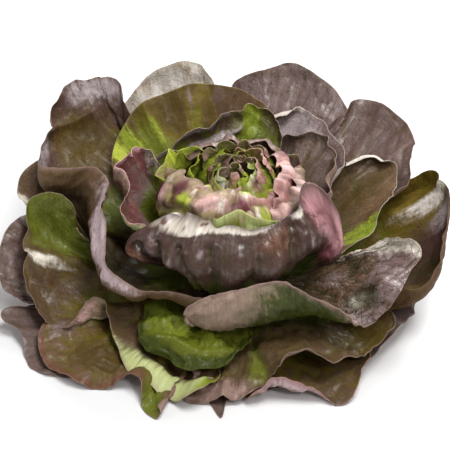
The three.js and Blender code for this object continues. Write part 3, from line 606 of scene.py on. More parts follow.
def leaf_skin(name, face, back, rim, spot_colours, gloss, dull, wax, glow, crackle):
    """Leaf skin: three colours from shade to sun, two on the back, and those of its spots.

    Sizes of noise are in mm. Streaks and fibres are drawn out along the leaf's rays.
    """
    paint, close = new_material(name)
    flat = paint.attribute("flat", "Vector")
    skin = paint.attribute("skin", "Color")
    tint, vein, edge = (paint.node("ShaderNodeSeparateColor", out=k, Color=skin) for k in range(3))
    under = paint.attribute("under")
    fan = paint.attribute("fan", "Vector")
    fan = paint.vector_sum("MULTIPLY", i0=fan, i1=(1.0, STREAK_SQUEEZE, 1.0))
    streak = paint.noise(fan, 2.6, 4.0, 0.6)
    fibre = paint.noise(fan, 0.9, 3.0, 0.6)
    cloud = paint.noise(flat, 17.0, 3.0)
    patch = paint.noise(flat, 6.0, 3.0)
    fleck = paint.noise(flat, 2.0, 4.0, 0.6)
    grain = paint.noise(flat, 0.6, 2.0)
    drift = paint.node("ShaderNodeTexNoise", out="Color", Vector=flat, Scale=0.16, Detail=2.0)
    drift = paint.vector_sum("SCALE", Vector=drift, Scale=CRACK_DRIFT)
    bent = paint.vector_sum("ADD", i0=flat, i1=drift)
    # fine creases between small cells: they dent the bump, and below they darken the colour a
    # little, as painted shade in the creases
    cells = paint.node("ShaderNodeTexVoronoi", {"feature": "DISTANCE_TO_EDGE"}, Vector=bent,
                       Scale=1 / CRACK_SPACING)
    shaded_creases = (1 - cells.between(0.0, 0.08)) * patch.between(0.35, 0.6) * crackle
    shaded_creases = shaded_creases * (1 - under * 0.8)
    sunny = (tint + (cloud - 0.5) * 0.8 + (patch - 0.5) * 0.4 + (fleck - 0.5) * 0.3
             + (streak - 0.5) * 0.9 - vein * 0.25)
    colour = paint.mix(face[0], face[1], sunny.between(0.0, 0.5))
    colour = paint.mix(colour, face[2], sunny.between(0.4, 0.95))
    colour = paint.mix(colour, face[0], vein * 0.5)
    behind = paint.mix(back[0], back[1], sunny.between(0.05, 0.75))
    behind = paint.mix(behind, back[0], vein * 0.6)
    colour = paint.mix(colour, behind, under)
    for k, shade in enumerate(spot_colours):
        spot = paint.attribute("spot_%d" % k)
        ragged = spot * (1 + (fleck - 0.5) * 1.1 + (patch - 0.5) * 1.6 + (streak - 0.5) * 1.4)
        colour = paint.mix(colour, shade, ragged.between(0.15, 0.8))
    lip = (edge.between(0.8, 0.97) * 0.4) * (1 - under)
    flush = ((edge + (patch - 0.5) * 0.4).between(0.35, 1.0) * 0.85) * under
    colour = paint.mix(colour, rim, lip + flush)
    # the mottle is a little darker along the fine creases: painted shade
    mottle = 0.04 + 0.5 * patch + 0.55 * fleck + 0.5 * streak + 0.5 * fibre - 0.13 * shaded_creases
    grey = paint.node("ShaderNodeCombineColor", Red=mottle, Green=mottle, Blue=mottle)
    colour = paint.mix(colour, grey, 1.0, "MULTIPLY")
    height = 0.9 * patch + 0.6 * fleck + 0.2 * grain - 0.3 * shaded_creases + 0.7 * streak + 0.3 * fibre
    bump = paint.node("ShaderNodeBump", Strength=0.75, Distance=0.0012, Height=height)
    rough = gloss + under * dull + (patch - 0.5) * 0.2 + (streak - 0.5) * 0.3
    waxy = (patch + streak).between(0.9, 1.15) * (1 - under * 3 * dull)
    return close(Base_Color=colour, Roughness=rough, Normal=bump, IOR=1.33,
                 Specular_IOR_Level=min(0.5, 0.5 * wax), Coat_Weight=(0.4 * wax) * waxy,
                 Coat_Roughness=0.26, Subsurface_Weight=glow,
                 Subsurface_Radius=(0.0014, 0.0018, 0.0005), Subsurface_Scale=1.0)


def tint_of(leaf, start, full, seed):
    """How much colour the light has brought out: none at the foot, most near the margin."""
    v = leaf["v"][None, :] + np.zeros_like(leaf["x"])
    tint = soft(start, full, v + 0.09 * ripple(leaf["x"], leaf["y"], 22.0, seed))
    return tint * (0.8 + 0.2 * np.clip(leaf["bulge"] / 1.8, 0, 1))


def lay_leaf(node, rows, slot, face, back, rim, seed, sheet=None, name="", blade=0.7, rib=0.8,
             start=0.15, full=0.75, spots=(), gloss=0.4, dull=0.14, wax=1, glow=0.1, crackle=1.0,
             **relief):
    """Grows one leaf from its place in the frame: surface, skin and shell.

    Colour starts and is full at these places on the way to the margin. A spot is (colour, side,
    mark, ...), with side 1 for the inner face, -1 for the back and 0 for both, and a mark is
    (u, v, half width, half length, strength). What is left over shapes the surface.
    """
    if sheet is None:
        sheet = upper_sheet(node, len(rows) - 1)
    leaf = leaf_points(sheet, rows, seed, **relief)
    tint = tint_of(leaf, start, full, seed + 5)
    masks = []
    for _, side, *places in spots:
        mask = np.clip(marks(leaf["u"], leaf["v"], places), 0, 1.4)
        masks.append([mask * (side >= 0), mask * (side <= 0)])
    name = name or node
    material = leaf_skin(name + "_skin", face, back, rim, [spot[0] for spot in spots], gloss,
                         dull, wax, glow, crackle)
    leaf_piece(name + "_blade", node, leaf, blade, rib, tint, masks, material, slot)


BUD_FOOT = 55


def young_leaf(azimuth, half, belly, tip, height):
    """Rays of a bud leaf that bellies out from the growing tip and closes over it, in mm."""
    rays = []
    for c in np.linspace(-1, 1, 7):
        turn = radians(azimuth + half * c)
        reach = belly * (1 - 0.12 * c * c)
        radii = np.array([0.8, 0.6 * reach, 0.95 * reach, reach, 0.5 * (reach + tip), tip])
        rise = np.array([0, 0.1, 0.32, 0.62, 0.87, 1 - 0.06 * c * c])
        rays.append([(r * cos(turn), r * sin(turn), BUD_FOOT + (height - BUD_FOOT) * z)
                     for r, z in zip(radii, rise)])
    return np.array(rays)


# colours of leaf tissue, from shade to sun. The cream also serves as painted highlight on lips and
# ridges that face the lamps, and the silver as painted sheen of the lamps on waxy faces, besides
# pale margins and backs
LIME = (0.33, 0.37, 0.04)
LEAF_GREEN = (0.19, 0.23, 0.02)
GREEN = (0.11, 0.125, 0.012)
PALE_GREEN = (0.4, 0.43, 0.18)
OLIVE = (0.115, 0.076, 0.012)
BROWN = (0.085, 0.048, 0.024)
RUSSET = (0.12, 0.07, 0.036)
PURPLE = (0.062, 0.031, 0.025)
PLUM = (0.12, 0.036, 0.04)
ROSE = (0.3, 0.14, 0.13)
PINK = (0.55, 0.34, 0.31)
MAUVE = (0.25, 0.16, 0.135)
SLATE = (0.15, 0.1, 0.095)
TAN = (0.29, 0.21, 0.125)
CREAM_AND_HIGHLIGHT = (0.6, 0.54, 0.46)
SILVER_AND_SHEEN = (0.46, 0.41, 0.37)

WHOLE_MARGIN = (0.06, 0.14, 0.86, 0.94)
heart_looks = dict(rim=MAUVE, blade=0.6, rib=0.4, crumple=0.9, cell=9, sway=1, ruffle=2.2,
                   wave=22, notch=1.4, step=1.2, gloss=0.3, dull=0.02, glow=0.35, start=0.3,
                   full=0.95)
heart_leaves = {
    "heart_leaf_01": dict(
        face=(LIME, PLUM, PURPLE), back=(LIME, PURPLE), start=0.1, full=0.5,
        rolls=((WHOLE_MARGIN, 40, 6, 5, 2),)),
    "heart_leaf_02": dict(
        face=(LIME, LIME, LEAF_GREEN), back=(LIME, LEAF_GREEN), rim=PALE_GREEN,
        rolls=((WHOLE_MARGIN, 50, 8, 4, 2),),
        spots=((PLUM, 0, (0.4, 1, 0.1, 0.1, 1)),)),
    "heart_leaf_03": dict(
        face=(LIME, LEAF_GREEN, MAUVE), back=(LIME, LEAF_GREEN), rim=LIME,
        rolls=((WHOLE_MARGIN, 60, 8, 3, 2),),
        spots=((ROSE, 0, (0.3, 0.95, 0.08, 0.1, 1)),)),
    "heart_leaf_04": dict(
        face=(LIME, OLIVE, PLUM), back=(LIME, ROSE), rim=LIME,
        rolls=((WHOLE_MARGIN, 60, 8, 2, 2),),
        spots=((CREAM_AND_HIGHLIGHT, 0, (0.5, 1, 0.2, 0.08, 0.9)),)),
    "heart_leaf_05": dict(
        face=(LEAF_GREEN, MAUVE, ROSE), back=(TAN, ROSE), rim=PINK,
        rolls=((WHOLE_MARGIN, 70, 7, 3, 2),),
        spots=((PINK, 0, (0.45, 0.92, 0.2, 0.2, 0.9)),
               (PLUM, 0, (0.3, 0.85, 0.05, 0.2, 1), (0.62, 0.85, 0.05, 0.2, 0.9)))),
    "heart_leaf_06": dict(
        face=(LIME, LEAF_GREEN, MAUVE), back=(LIME, GREEN), rim=LIME,
        rolls=(((0.06, 0.14, 0.5, 0.6), 60, 8, 3, 2), ((0.66, 0.76, 0.94, 1), -45, 8, 8, 2)),
        spots=((LIME, 0, (0.7, 0.95, 0.2, 0.3, 1)),)),
    "heart_leaf_07": dict(
        face=(LIME, ROSE, PLUM), back=(LIME, MAUVE),
        rolls=((WHOLE_MARGIN, 70, 7, 4, 2),),
        spots=((PINK, 0, (0.62, 0.9, 0.08, 0.15, 1), (0.4, 0.95, 0.08, 0.1, 0.9)),
               (PURPLE, -1, (0.5, 0.8, 0.1, 0.15, 1.2), (0.72, 0.75, 0.05, 0.15, 1)))),
    "heart_leaf_08": dict(
        face=(LIME, OLIVE, PLUM), back=(LIME, TAN), ruffle=2, wave=30, crumple=1.8, sway=1.6,
        rolls=((WHOLE_MARGIN, 50, 6, 3, 2),),
        folds=((0.38, 0.86, 0.36, 0.98, 2.5, 4), (0.56, 0.84, 0.5, 0.98, 2.5, 4),
               (0.75, 0.45, 0.8, 0.98, 3, 4), (0.3, 0.74, 0.5, 0.79, 2, 5, 0.4),
               (0.5, 0.79, 0.8, 0.78, 2, 5, 0.4), (0.44, 0.84, 0.66, 0.94, 2, -3)),
        spots=((GREEN, -1, (0.5, 0.62, 0.3, 0.12, 1.3)),
               (RUSSET, -1, (0.56, 0.86, 0.03, 0.1, 0.8), (0.7, 0.8, 0.03, 0.12, 0.9),
                   (0.36, 0.78, 0.03, 0.08, 0.8), (0.24, 0.9, 0.03, 0.1, 0.8)),
               (LIME, 0, (0.46, 0.85, 0.08, 0.04, 1.3), (0.86, 0.8, 0.05, 0.2, 1),
                   (0.3, 0.68, 0.04, 0.05, 1)),
               (PINK, -1, (0.3, 0.85, 0.06, 0.12, 0.9), (0.62, 0.9, 0.1, 0.06, 0.9)),
               (PLUM, -1, (0.42, 0.92, 0.04, 0.15, 0.9), (0.75, 0.9, 0.06, 0.1, 1),
                   (0.2, 0.8, 0.05, 0.2, 0.8)),
               # thin pale streaks on the back: painted highlights
               (CREAM_AND_HIGHLIGHT, -1, (0.66, 0.9, 0.012, 0.05, 0.9), (0.5, 0.93, 0.014, 0.04, 0.8),
                   (0.82, 0.9, 0.012, 0.06, 0.9), (0.33, 0.94, 0.012, 0.03, 0.8)))),
    "heart_leaf_09": dict(
        face=(LEAF_GREEN, SLATE, MAUVE), back=(LIME, BROWN),
        rolls=(((0.11, 0.19, 0.81, 0.89), 60, 6, 2, 2),),
        # a grey band along the turned-in margin: painted highlight on its ridge
        spots=((SLATE, 0, (0.5, 0.95, 0.3, 0.12, 1)),)),
    "heart_leaf_10": dict(
        face=(LIME, OLIVE, BROWN), back=(LEAF_GREEN, GREEN), rim=PALE_GREEN, ruffle=0.6, wave=40,
        notch=0.6, crumple=1.2, cell=7,
        rolls=(((-0.1, 0.12, 0.3, 0.9), 15, 8, 10, 2),),
        # darker green near the left of the margin, under the leaf that folds over it: painted
        # shade
        spots=((GREEN, -1, (0.2, 0.9, 0.22, 0.1, 1)),
               (TAN, -1, (0.1, 1, 0.08, 0.06, 0.9), (0.4, 1, 0.14, 0.05, 0.9)),
               (PALE_GREEN, -1, (0.45, 0.9, 0.06, 0.12, 0.9)))),
}
for seed, (node, looks) in enumerate(heart_leaves.items(), 11):
    lay_leaf(node, HEART_ROWS, "heart_leaf", seed=seed, **{**heart_looks, **looks})

# The bud leaves fill the heart, and stand for the innermost leaf together with it. Each has its
# number, then its azimuth and half width in degrees with its belly, its tip's radius and its
# height in mm, and then its colours.
bud_looks = {**heart_looks, "ruffle": 1.5, "wave": 15, "cell": 6, "crumple": 0.6,
             "notch": 0.9, "step": 0.9}
bud_leaves = (
    (1, (255, 75, 6, 1, 98), (LIME, MAUVE, PLUM), (LIME, ROSE), PINK),
    (2, (75, 80, 7, 2, 102), (LIME, LIME, MAUVE), (LIME, MAUVE), TAN),
    (3, (345, 60, 11, 6, 96), (LIME, LIME, LEAF_GREEN), (LIME, LEAF_GREEN), LIME),
    (4, (170, 60, 12, 7, 97), (LIME, PALE_GREEN, TAN), (LIME, SILVER_AND_SHEEN), PALE_GREEN),
    (5, (300, 60, 15, 9, 92), (LIME, TAN, ROSE), (PALE_GREEN, ROSE), PINK),
    (6, (110, 70, 19, 13, 102), (LIME, LEAF_GREEN, MAUVE), (LIME, PLUM), MAUVE),
    (7, (30, 60, 21, 14, 100), (LIME, TAN, ROSE), (LIME, ROSE), PINK),
    (8, (195, 60, 18, 12, 94), (LIME, LIME, OLIVE), (LIME, TAN), LIME),
    (9, (85, 60, 29, 23, 104), (LIME, LEAF_GREEN, MAUVE), (LIME, PURPLE), MAUVE),
    (11, (45, 45, 26, 20, 103), (LIME, LEAF_GREEN, ROSE), (LIME, ROSE), PINK),
    (10, (145, 50, 31, 26, 99), (LIME, LIME, OLIVE), (LIME, LIME), LIME),
)
for seed, (number, shape, face, back, rim) in enumerate(bud_leaves, 90):
    lay_leaf("heart_leaf_01", HEART_ROWS, "heart_leaf", seed=seed, name="bud_leaf_%d" % number,
             sheet=young_leaf(*shape), **{**bud_looks, "face": face, "back": back, "rim": rim})


# ----------------------------------------------
# The inner leaves and the wrapper: nearly full-grown leaves that still stand round the heart,
# the largest wrapping its front with its glossy back outwards. The blade is waxy, dark purple
# over green, with its margin turned in over the heart.
OPEN_ROWS = (0, 0.14, 0.32, 0.52, 0.72, 0.88, 1)
DEEP_GREEN = (0.04, 0.05, 0.006)
MAGENTA = (0.22, 0.07, 0.085)
BLUSH = (0.46, 0.23, 0.25)
RED_BROWN = (0.13, 0.056, 0.03)
# the ash grey is painted sheen on ridges and faces turned to the lamps; the lilac is the pale tone
# of some leaf backs, and also painted highlight on the wrapper's bulges
ASH_SHEEN = (0.27, 0.22, 0.22)
LILAC = (0.52, 0.4, 0.42)

inner_looks = dict(back=(GREEN, MAUVE), rim=MAUVE, gloss=0.3, dull=0.03, crumple=0.9, crack=0.3)
inner_leaves = {
    "inner_leaf_left": dict(
        face=(GREEN, SLATE, PLUM), back=(PALE_GREEN, PLUM), rim=PINK, wave=30, start=0.2,
        crumple=1.3, gloss=0.24,
        spots=((CREAM_AND_HIGHLIGHT, 0, (0.08, 0.9, 0.07, 0.2, 0.9)),
               (LIME, 1, (0.12, 0.55, 0.07, 0.1, 0.9)),
               (BLUSH, 0, (0.33, 1, 0.14, 0.08, 1.2)),
               (PALE_GREEN, -1, (0.85, 0.9, 0.15, 0.2, 1))),
        folds=((0.3, 0.35, 0.28, 0.98, 4, 7), (0.42, 0.35, 0.46, 0.98, 4, -6),
               (0.16, 0.35, 0.14, 0.98, 4, -5), (0.7, 0.4, 0.72, 0.98, 4, 5))),
    "inner_leaf_back": dict(
        face=(DEEP_GREEN, GREEN, PURPLE), ruffle=1.5, start=0.4, full=1,
        spots=((LEAF_GREEN, 1, (0.34, 0.85, 0.07, 0.3, 1.2)),
               # grey bands along the fold ridges: painted sheen
               (ASH_SHEEN, 1, (0.75, 0.97, 0.25, 0.05, 1.2), (0.65, 0.76, 0.2, 0.035, 1.2),
                   (0.7, 0.58, 0.2, 0.04, 1))),
        folds=((0.42, 0.76, 0.95, 0.76, 5, 6), (0.42, 0.58, 0.9, 0.58, 5, 5),
               (0.42, 0.98, 0.44, 0.6, 3, 4))),
    "inner_leaf_right": dict(
        face=(GREEN, BROWN, SLATE), wave=30,
        folds=((0.5, 0.4, 0.45, 0.95, 4, 4), (0.62, 0.4, 0.7, 0.95, 4, 3))),
    "wrapper_leaf": dict(
        face=(GREEN, BROWN, PURPLE), back=(DEEP_GREEN, PURPLE), rim=PURPLE, blister=-0.9,
        crumple=-0.7, cell=16, ruffle=1.2, wave=50, start=0.33, full=0.62, gloss=0.22,
        dull=0.02, wax=2.2,
        spots=((MAGENTA, -1, (0.8, 0.8, 0.05, 0.25, 1.2)),
               (BLUSH, -1, (0.785, 1, 0.06, 0.22, 3.5)),
               (RED_BROWN, -1, (0.58, 0.9, 0.04, 0.12, 0.6), (0.2, 0.8, 0.05, 0.2, 0.6)),
               (DEEP_GREEN, -1, (0.5, 0.45, 0.08, 0.14, 1.1), (0.6, 0.5, 0.03, 0.14, 0.9)),
               # thin lilac streaks on the bulges: painted highlights
               (LILAC, -1, (0.3, 0.88, 0.012, 0.1, 0.5), (0.38, 0.76, 0.007, 0.08, 0.4),
                   (0.455, 0.84, 0.008, 0.07, 0.4), (0.47, 0.7, 0.006, 0.06, 0.35),
                   (0.67, 0.78, 0.008, 0.14, 0.5), (0.7, 0.72, 0.008, 0.12, 0.5)),
               # the pale lip where the margin turns in: painted highlight
               (CREAM_AND_HIGHLIGHT, -1, (0.35, 1, 0.05, 0.027, 3), (0.43, 1, 0.07, 0.024, 3),
                   (0.52, 1, 0.05, 0.02, 2.4), (0.665, 1, 0.02, 0.03, 2.4)),
               (RED_BROWN, -1, (0.318, 0.985, 0.012, 0.014, 1.3), (0.372, 0.99, 0.006, 0.005, 1.1),
                   (0.405, 0.98, 0.005, 0.004, 1.1), (0.45, 0.985, 0.008, 0.004, 1.1))),
        folds=((0.49, 0.3, 0.33, 0.84, 2.4, 7, 0.8), (0.5, 0.3, 0.41, 0.86, 2.4, 8, 1.2),
               (0.5, 0.3, 0.475, 0.86, 2.4, 8, 1.2), (0.51, 0.3, 0.55, 0.84, 2.4, 7, 0.9),
               (0.52, 0.3, 0.63, 0.95, 3, 9, 1.1), (0.53, 0.3, 0.73, 0.9, 3, 8, 0.8),
               (0.47, 0.3, 0.25, 0.78, 3, 7, 0.8)),
        swells=((0.5, 0.42, 0.1, 0.16, -11), (0.34, 0.42, 0.06, 0.18, 5),
                (0.68, 0.42, 0.07, 0.18, 5), (0.37, 0.72, 0.022, 0.14, -4),
                (0.443, 0.7, 0.02, 0.14, -4), (0.512, 0.7, 0.02, 0.14, -3),
                (0.59, 0.7, 0.025, 0.14, -4), (0.68, 0.78, 0.03, 0.16, -5),
                (0.29, 0.68, 0.03, 0.14, -3)),
        rolls=(((0.24, 0.34, 0.38, 0.62), 42, 4, 14, 1.6),
               ((0.66, 0.74, 0.78, 0.86), 8, 6, 14, 1))),
}
for seed, (node, looks) in enumerate(inner_leaves.items(), 31):
    lay_leaf(node, OPEN_ROWS, "purple_leaf", seed=seed, **{**inner_looks, **looks})


# ----------------------------------------------
# The middle leaves: full-grown leaves that lean away from the heart behind it and beside it,
# showing their glossy inner face.
UMBER = (0.075, 0.047, 0.012)

lay_leaf("middle_leaf_back_left", OPEN_ROWS, "brown_leaf", face=(GREEN, OLIVE, UMBER),
         back=(GREEN, TAN), rim=TAN, seed=41, start=0.3, full=1.1, gloss=0.45, wax=0.3,
         crackle=0.4, ruffle=1, notch=0.4, wave=60, sway=2,
         spots=((GREEN, 1, (0.66, 0.6, 0.07, 0.35, 0.9)),
                (LIME, 1, (0.79, 0.9, 0.035, 0.3, 1)),
                (LEAF_GREEN, 1, (0.73, 0.8, 0.04, 0.25, 0.9), (0.61, 0.75, 0.02, 0.15, 0.7)),
                (UMBER, 1, (0.52, 0.85, 0.04, 0.2, 1.2), (0.4, 0.7, 0.03, 0.2, 1),
                    (0.6, 0.95, 0.015, 0.12, 0.9), (0.68, 0.93, 0.012, 0.1, 0.9)),
                (SLATE, 1, (0.35, 0.9, 0.03, 0.14, 0.8), (0.46, 0.88, 0.012, 0.14, 0.7)),
                (BROWN, 1, (0.28, 0.85, 0.09, 0.3, 1.1))),
         folds=((0.6, 0.4, 0.62, 0.95, 5, 7, 0.5), (0.3, 0.5, 0.4, 0.98, 6, -7),
                (0.7, 0.5, 0.71, 0.98, 5, 5), (0.48, 0.5, 0.5, 0.98, 6, 4)))
lay_leaf("middle_leaf_back_right", OPEN_ROWS, "brown_leaf", face=(OLIVE, SLATE, SLATE),
         back=(GREEN, SILVER_AND_SHEEN), rim=SILVER_AND_SHEEN, seed=42, gloss=0.3, ruffle=1.2,
         # a grey patch: painted sheen; a pale lip: painted highlight
         spots=((ASH_SHEEN, 1, (0.6, 0.8, 0.25, 0.2, 1)),
                (CREAM_AND_HIGHLIGHT, 0, (0.67, 1, 0.1, 0.06, 1.2))),
         folds=((0.55, 0.5, 0.5, 0.95, 5, 4), (0.7, 0.5, 0.75, 0.9, 5, 4)),
         rolls=(((0.54, 0.62, 0.72, 0.8), 130, 5, 4, 3),))
lay_leaf("side_leaf_right", OPEN_ROWS, "green_leaf", face=(DEEP_GREEN, BROWN, RUSSET),
         back=(OLIVE, SILVER_AND_SHEEN), rim=SILVER_AND_SHEEN, seed=43, start=0.3, full=0.9, wax=0.5,
         spots=((UMBER, 1, (0.9, 0.6, 0.12, 0.3, 1.1), (0.6, 0.7, 0.1, 0.2, 0.8)),
                (LEAF_GREEN, 1, (0.27, 0.9, 0.08, 0.3, 1)),
                # a pale lip on the back: painted highlight
                (CREAM_AND_HIGHLIGHT, -1, (0.74, 1, 0.1, 0.1, 1.2))),
         rolls=(((0.58, 0.66, 0.84, 0.92), 120, 5, 4, 3),))


# ----------------------------------------------
# The outer leaves: the oldest and largest, spread almost flat or cupped with their front wall
# standing. Brown and olive over green inside, a dull mauve bloom on the back.
# the near-black brown is painted shade, put in hollows, pits and creases that lie in shadow
PAINTED_SHADE = (0.035, 0.024, 0.01)
DUSK = (0.115, 0.072, 0.065)
SAGE = (0.12, 0.105, 0.07)
BUFF = (0.26, 0.185, 0.135)

outer_looks = dict(back=(OLIVE, MAUVE), rim=MAUVE, cell=14, step=2.2, sway=2, crumple=1,
                   blister=0.7, ruffle=1.3, notch=0.35, wave=55)
outer_leaves = {
    "outer_leaf_back_left": dict(
        face=(GREEN, BROWN, PURPLE), back=(OLIVE, RUSSET), ruffle=0.7, notch=0.2, crumple=0.7,
        wax=0.45, gloss=0.36,
        spots=((UMBER, 1, (0.36, 0.65, 0.07, 0.22, 1.3)),
               # grey patches near the top: painted sheen
               (ASH_SHEEN, 1, (0.25, 0.92, 0.07, 0.13, 0.9), (0.46, 0.93, 0.05, 0.1, 0.8)),
               (LILAC, -1, (0.77, 0.98, 0.1, 0.12, 1.7)),
               # near-black spots: painted shade in the hollows
               (PAINTED_SHADE, -1, (0.58, 0.8, 0.1, 0.14, 0.7)),
               (PAINTED_SHADE, 1, (0.78, 0.6, 0.12, 0.3, 1.2))),
        folds=((0.41, 0.97, 0.29, 0.74, 4, 6), (0.29, 0.74, 0.25, 0.5, 4, 6),
               (0.22, 0.95, 0.2, 0.6, 6, 4), (0.84, 0.25, 0.79, 0.85, 4, 4, 1),
               (0.9, 0.25, 0.9, 0.85, 4, 4, 1), (0.77, 0.3, 0.71, 0.8, 4, 4, 0.7)),
        swells=((0.36, 0.6, 0.06, 0.1, 3), (0.24, 0.8, 0.05, 0.1, 4)),
        rolls=(((0.13, 0.18, 0.2, 0.24), 10, 10, 5, 1), ((0.26, 0.29, 0.31, 0.36), 10, 10, 4, 1))),
    "outer_leaf_right": dict(
        # its shade colour is near-black, so the creases between its blisters are painted shade
        face=(PAINTED_SHADE, BROWN, SLATE), back=(MAUVE, BUFF), gloss=0.28, blister=1, cell=10, crack=1,
        sway=2.2, crumple=0.5, crackle=2.8,
        # painted shade: the dark green on the lower wall and the near-black ring of the dimple;
        # painted sheen: the cream patches near the far margin
        spots=((DEEP_GREEN, -1, (0.41, 0.66, 0.14, 0.36, 1.4)),
               (CREAM_AND_HIGHLIGHT, 1, (0.86, 0.85, 0.07, 0.35, 1.4), (0.79, 1, 0.03, 0.1, 1)),
               (PAINTED_SHADE, 1, (0.61, 0.68, 0.05, 0.14, 1.1)),
               (SAGE, 1, (0.605, 0.66, 0.026, 0.07, 1.5))),
        swells=((0.61, 0.67, 0.03, 0.08, -5),),
        folds=((0.55, 0.72, 0.66, 0.77, 3, 4),)),
    "outer_leaf_upper_right": dict(
        face=(OLIVE, BROWN, DUSK), gloss=0.33,
        folds=((0.5, 0.4, 0.55, 0.95, 6, 4), (0.35, 0.5, 0.4, 0.95, 6, 3))),
    "outer_leaf_far_right": dict(
        face=(GREEN, OLIVE, OLIVE), back=(OLIVE, BROWN), rim=RUSSET, gloss=0.42, wax=0.2,
        ruffle=0.7, notch=0.1, crumple=0.6, sway=0.7, blister=0.5,
        spots=((PURPLE, 1, (0.48, 0.8, 0.13, 0.4, 1.3)),
               # painted sheen: the ash and silver streaks along the fold; painted shade: the
               # near-black spot in the hollow
               (ASH_SHEEN, 1, (0.59, 0.9, 0.03, 0.2, 1)),
               (PAINTED_SHADE, 1, (0.45, 0.7, 0.07, 0.2, 0.8)),
               (RED_BROWN, -1, (0.5, 0.8, 0.3, 0.3, 0.6)),
               (SILVER_AND_SHEEN, 1, (0.65, 0.85, 0.026, 0.3, 1.2))),
        folds=((0.66, 0.98, 0.67, 0.5, 5, 7),)),
    "outer_leaf_back_right": dict(
        face=(OLIVE, PURPLE, SLATE), gloss=0.32,
        folds=((0.35, 0.4, 0.3, 0.95, 6, 4), (0.6, 0.4, 0.65, 0.9, 6, 3))),
    "outer_leaf_back": dict(
        # the silver at its sunny end is painted sheen
        face=(OLIVE, TAN, SILVER_AND_SHEEN), gloss=0.3,
        folds=((0.5, 0.5, 0.45, 0.95, 5, 4),)),
    "outer_leaf_left": dict(
        face=(GREEN, OLIVE, BROWN), back=(PALE_GREEN, TAN),
        spots=((GREEN, 1, (0.25, 0.75, 0.12, 0.4, 1.1)),
               # a thin pale line along the crease: painted highlight
               (CREAM_AND_HIGHLIGHT, 1, (0.395, 0.83, 0.009, 0.25, 0.9)),
               (PINK, -1, (0.58, 0.95, 0.05, 0.2, 0.9)),
               (PALE_GREEN, 0, (0.8, 1, 0.08, 0.08, 1.3), (0.87, 0.97, 0.03, 0.03, 1)),
               (LEAF_GREEN, 0, (0.91, 1, 0.03, 0.06, 1.3))),
        folds=((0.4, 0.98, 0.38, 0.55, 4, 6),),
        rolls=(((0.66, 0.77, 0.87, 0.98), -60, 4, 14, 2),)),
    "small_leaf_left": dict(
        face=(OLIVE, RED_BROWN, BROWN), back=(PALE_GREEN, MAUVE), wax=0.7,
        # a pale lip: painted highlight
        spots=((CREAM_AND_HIGHLIGHT, 0, (0.68, 1, 0.06, 0.1, 1.2)),)),
    "outer_leaf_front": dict(
        face=(GREEN, BROWN, BROWN), back=(TAN, MAUVE), blister=0.9, crumple=1.3, cell=11,
        crack=0.5,
        spots=((MAUVE, 1, (0.27, 0.93, 0.1, 0.2, 1.1)),
               (GREEN, 1, (0.4, 0.7, 0.04, 0.3, 0.7)),
               (OLIVE, 1, (0.75, 0.8, 0.1, 0.3, 0.9))),
        folds=((0.27, 0.4, 0.3, 0.96, 3, 4, 0.6), (0.4, 0.4, 0.42, 0.96, 3, -4, 0.6),
               (0.33, 0.96, 0.36, 0.5, 3, -3), (0.62, 0.5, 0.66, 0.92, 4, 3, 0.4))),
    "far_leaf_left": dict(
        face=(OLIVE, BROWN, DUSK), gloss=0.3,
        # silver patches: painted highlights
        spots=((SILVER_AND_SHEEN, 1, (0.64, 0.8, 0.05, 0.12, 0.6), (0.56, 0.62, 0.05, 0.06, 0.6)),)),
    "outer_leaf_lower_left": dict(
        face=(GREEN, OLIVE, RUSSET), back=(TAN, MAUVE), start=0.1, full=0.95, wax=0.6,
        blister=0.9, crumple=1.3, cell=11, crack=0.5,
        spots=((UMBER, 1, (0.46, 0.72, 0.12, 0.14, 1.1)),
               (RED_BROWN, 1, (0.45, 1, 0.3, 0.07, 0.9)),
               (GREEN, 1, (0.68, 0.9, 0.05, 0.2, 1)),
               (SLATE, 1, (0.25, 0.8, 0.04, 0.14, 0.7))),
        folds=((0.45, 0.72, 0.58, 0.8, 2.5, 4), (0.46, 0.82, 0.58, 0.9, 2.5, 4),
               (0.42, 0.62, 0.56, 0.7, 2.5, 4), (0.34, 0.96, 0.42, 0.68, 3, 4),
               (0.6, 0.3, 0.6, 0.9, 4, 4, 0.8), (0.4, 0.3, 0.37, 0.9, 4, 3, 0.8),
               (0.27, 0.3, 0.25, 0.9, 4, 3, 0.8)),
        swells=((0.34, 0.68, 0.1, 0.2, 4),)),
    "outer_leaf_lower_right": dict(
        face=(GREEN, OLIVE, BROWN), back=(MAUVE, MAUVE), rim=ROSE, blister=0.8,
        crack=0.5, cell=11, ruffle=0.6, notch=0.15, crumple=0.3, sway=0.8,
        spots=((LILAC, -1, (0.4, 1, 0.16, 0.1, 0.9)),),
        rolls=(((0.12, 0.26, 0.42, 0.58), 35, 4, 4, 2),)),
}
for seed, (node, looks) in enumerate(outer_leaves.items(), 51):
    lay_leaf(node, OPEN_ROWS, "brown_leaf", seed=seed, **{**outer_looks, **looks})


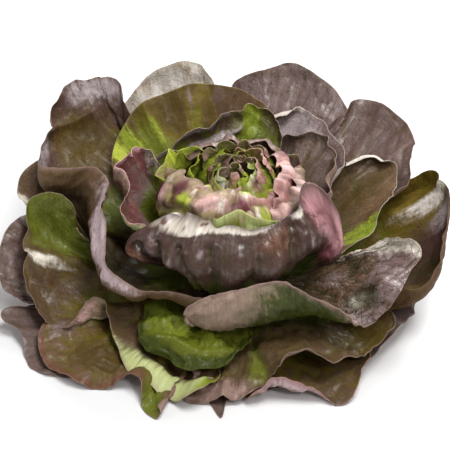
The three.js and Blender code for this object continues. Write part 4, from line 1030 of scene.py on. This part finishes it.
# ----------------------------------------------
# The low leaves: those that lie under the others and on the table, greener where the others
# shade them and dull brown at their margins.
lay_leaf("low_leaf_front", OPEN_ROWS, "green_leaf", face=(GREEN, GREEN, OLIVE),
         back=(GREEN, OLIVE), rim=GREEN, seed=71, start=0.7, full=1.5, blister=1.2, cell=8,
         crack=0.8, crumple=1.7, gloss=0.42, wax=0.5,
         spots=((LEAF_GREEN, 1, (0.5, 0.6, 0.25, 0.15, 0.7), (0.2, 0.7, 0.1, 0.2, 0.6)),
                # darker green along the margin, where it lies under the leaves above: painted
                # shade
                (DEEP_GREEN, 1, (0.5, 1, 0.5, 0.16, 1.2))))
for seed, node in enumerate(("low_leaf_left", "low_leaf_back_left", "low_leaf_back",
                             "low_leaf_back_right", "low_leaf_right", "under_leaf_back",
                             "under_leaf_front"), 72):
    lay_leaf(node, OPEN_ROWS, "old_leaf", face=(GREEN, PURPLE, DUSK), back=(OLIVE, MAUVE),
             rim=MAUVE, seed=seed, ruffle=1.4, step=2.8, gloss=0.45, sway=0.4, crumple=0.3)


# ----------------------------------------------
# The table: a plain pale board. It stands under four soft lamps in a pale room, and is seen with
# a long lens from the front, 36 degrees above the board. Places and sizes are in metres here.
FLOOR_REACH = 4.0
PALE_GREY = (0.72, 0.72, 0.72)
ROOM_LIGHT = 0.3
HEAD_MIDDLE = (0, 0, 0.05)

floor_mesh = bpy.data.meshes.new("table")
corners = [(x * FLOOR_REACH, y * FLOOR_REACH, 0) for x, y in ((-1, -1), (1, -1), (1, 1), (-1, 1))]
floor_mesh.from_pydata(corners, [], [(0, 1, 2, 3)])
floor = bpy.data.objects.new("table", floor_mesh)
bpy.context.scene.collection.objects.link(floor)
paint, close = new_material("table_top")
floor_mesh.materials.append(close(Base_Color=PALE_GREY, Roughness=0.6))

world = bpy.data.worlds.new("soft_room")
world.use_nodes = True
room = world.node_tree.nodes["Background"]
room.inputs["Color"].default_value = (1, 1, 1, 1)
room.inputs["Strength"].default_value = ROOM_LIGHT
bpy.context.scene.world = world


def aimed(name, data, place, target):
    """A lamp or a camera at a place, turned to a target."""
    holder = bpy.data.objects.new(name, data)
    holder.location = place
    holder.rotation_euler = (Vector(target) - Vector(place)).to_track_quat("-Z", "Y").to_euler()
    bpy.context.scene.collection.objects.link(holder)
    return holder


for name, place, size, power in (("lamp_overhead", (0.25, -0.15, 1.2), 0.6, 14),
                                 ("lamp_front", (0.4, -0.8, 0.95), 0.25, 4),
                                 ("lamp_behind", (0.5, 1.05, 0.9), 0.7, 17),
                                 ("lamp_left", (-1.2, -0.3, 0.7), 0.5, 3)):
    lamp = bpy.data.lights.new(name, "AREA")
    lamp.shape = "DISK"
    lamp.size = size
    lamp.energy = power
    aimed(name, lamp, place, HEAD_MIDDLE)

camera = bpy.data.cameras.new("camera")
camera.lens = 126.76
camera.sensor_width = 36
bpy.context.scene.camera = aimed("camera", camera, (-0.006, -0.809, 0.6448), (-0.006, 0, 0.057))
bpy.context.scene.view_settings.view_transform = "Standard"
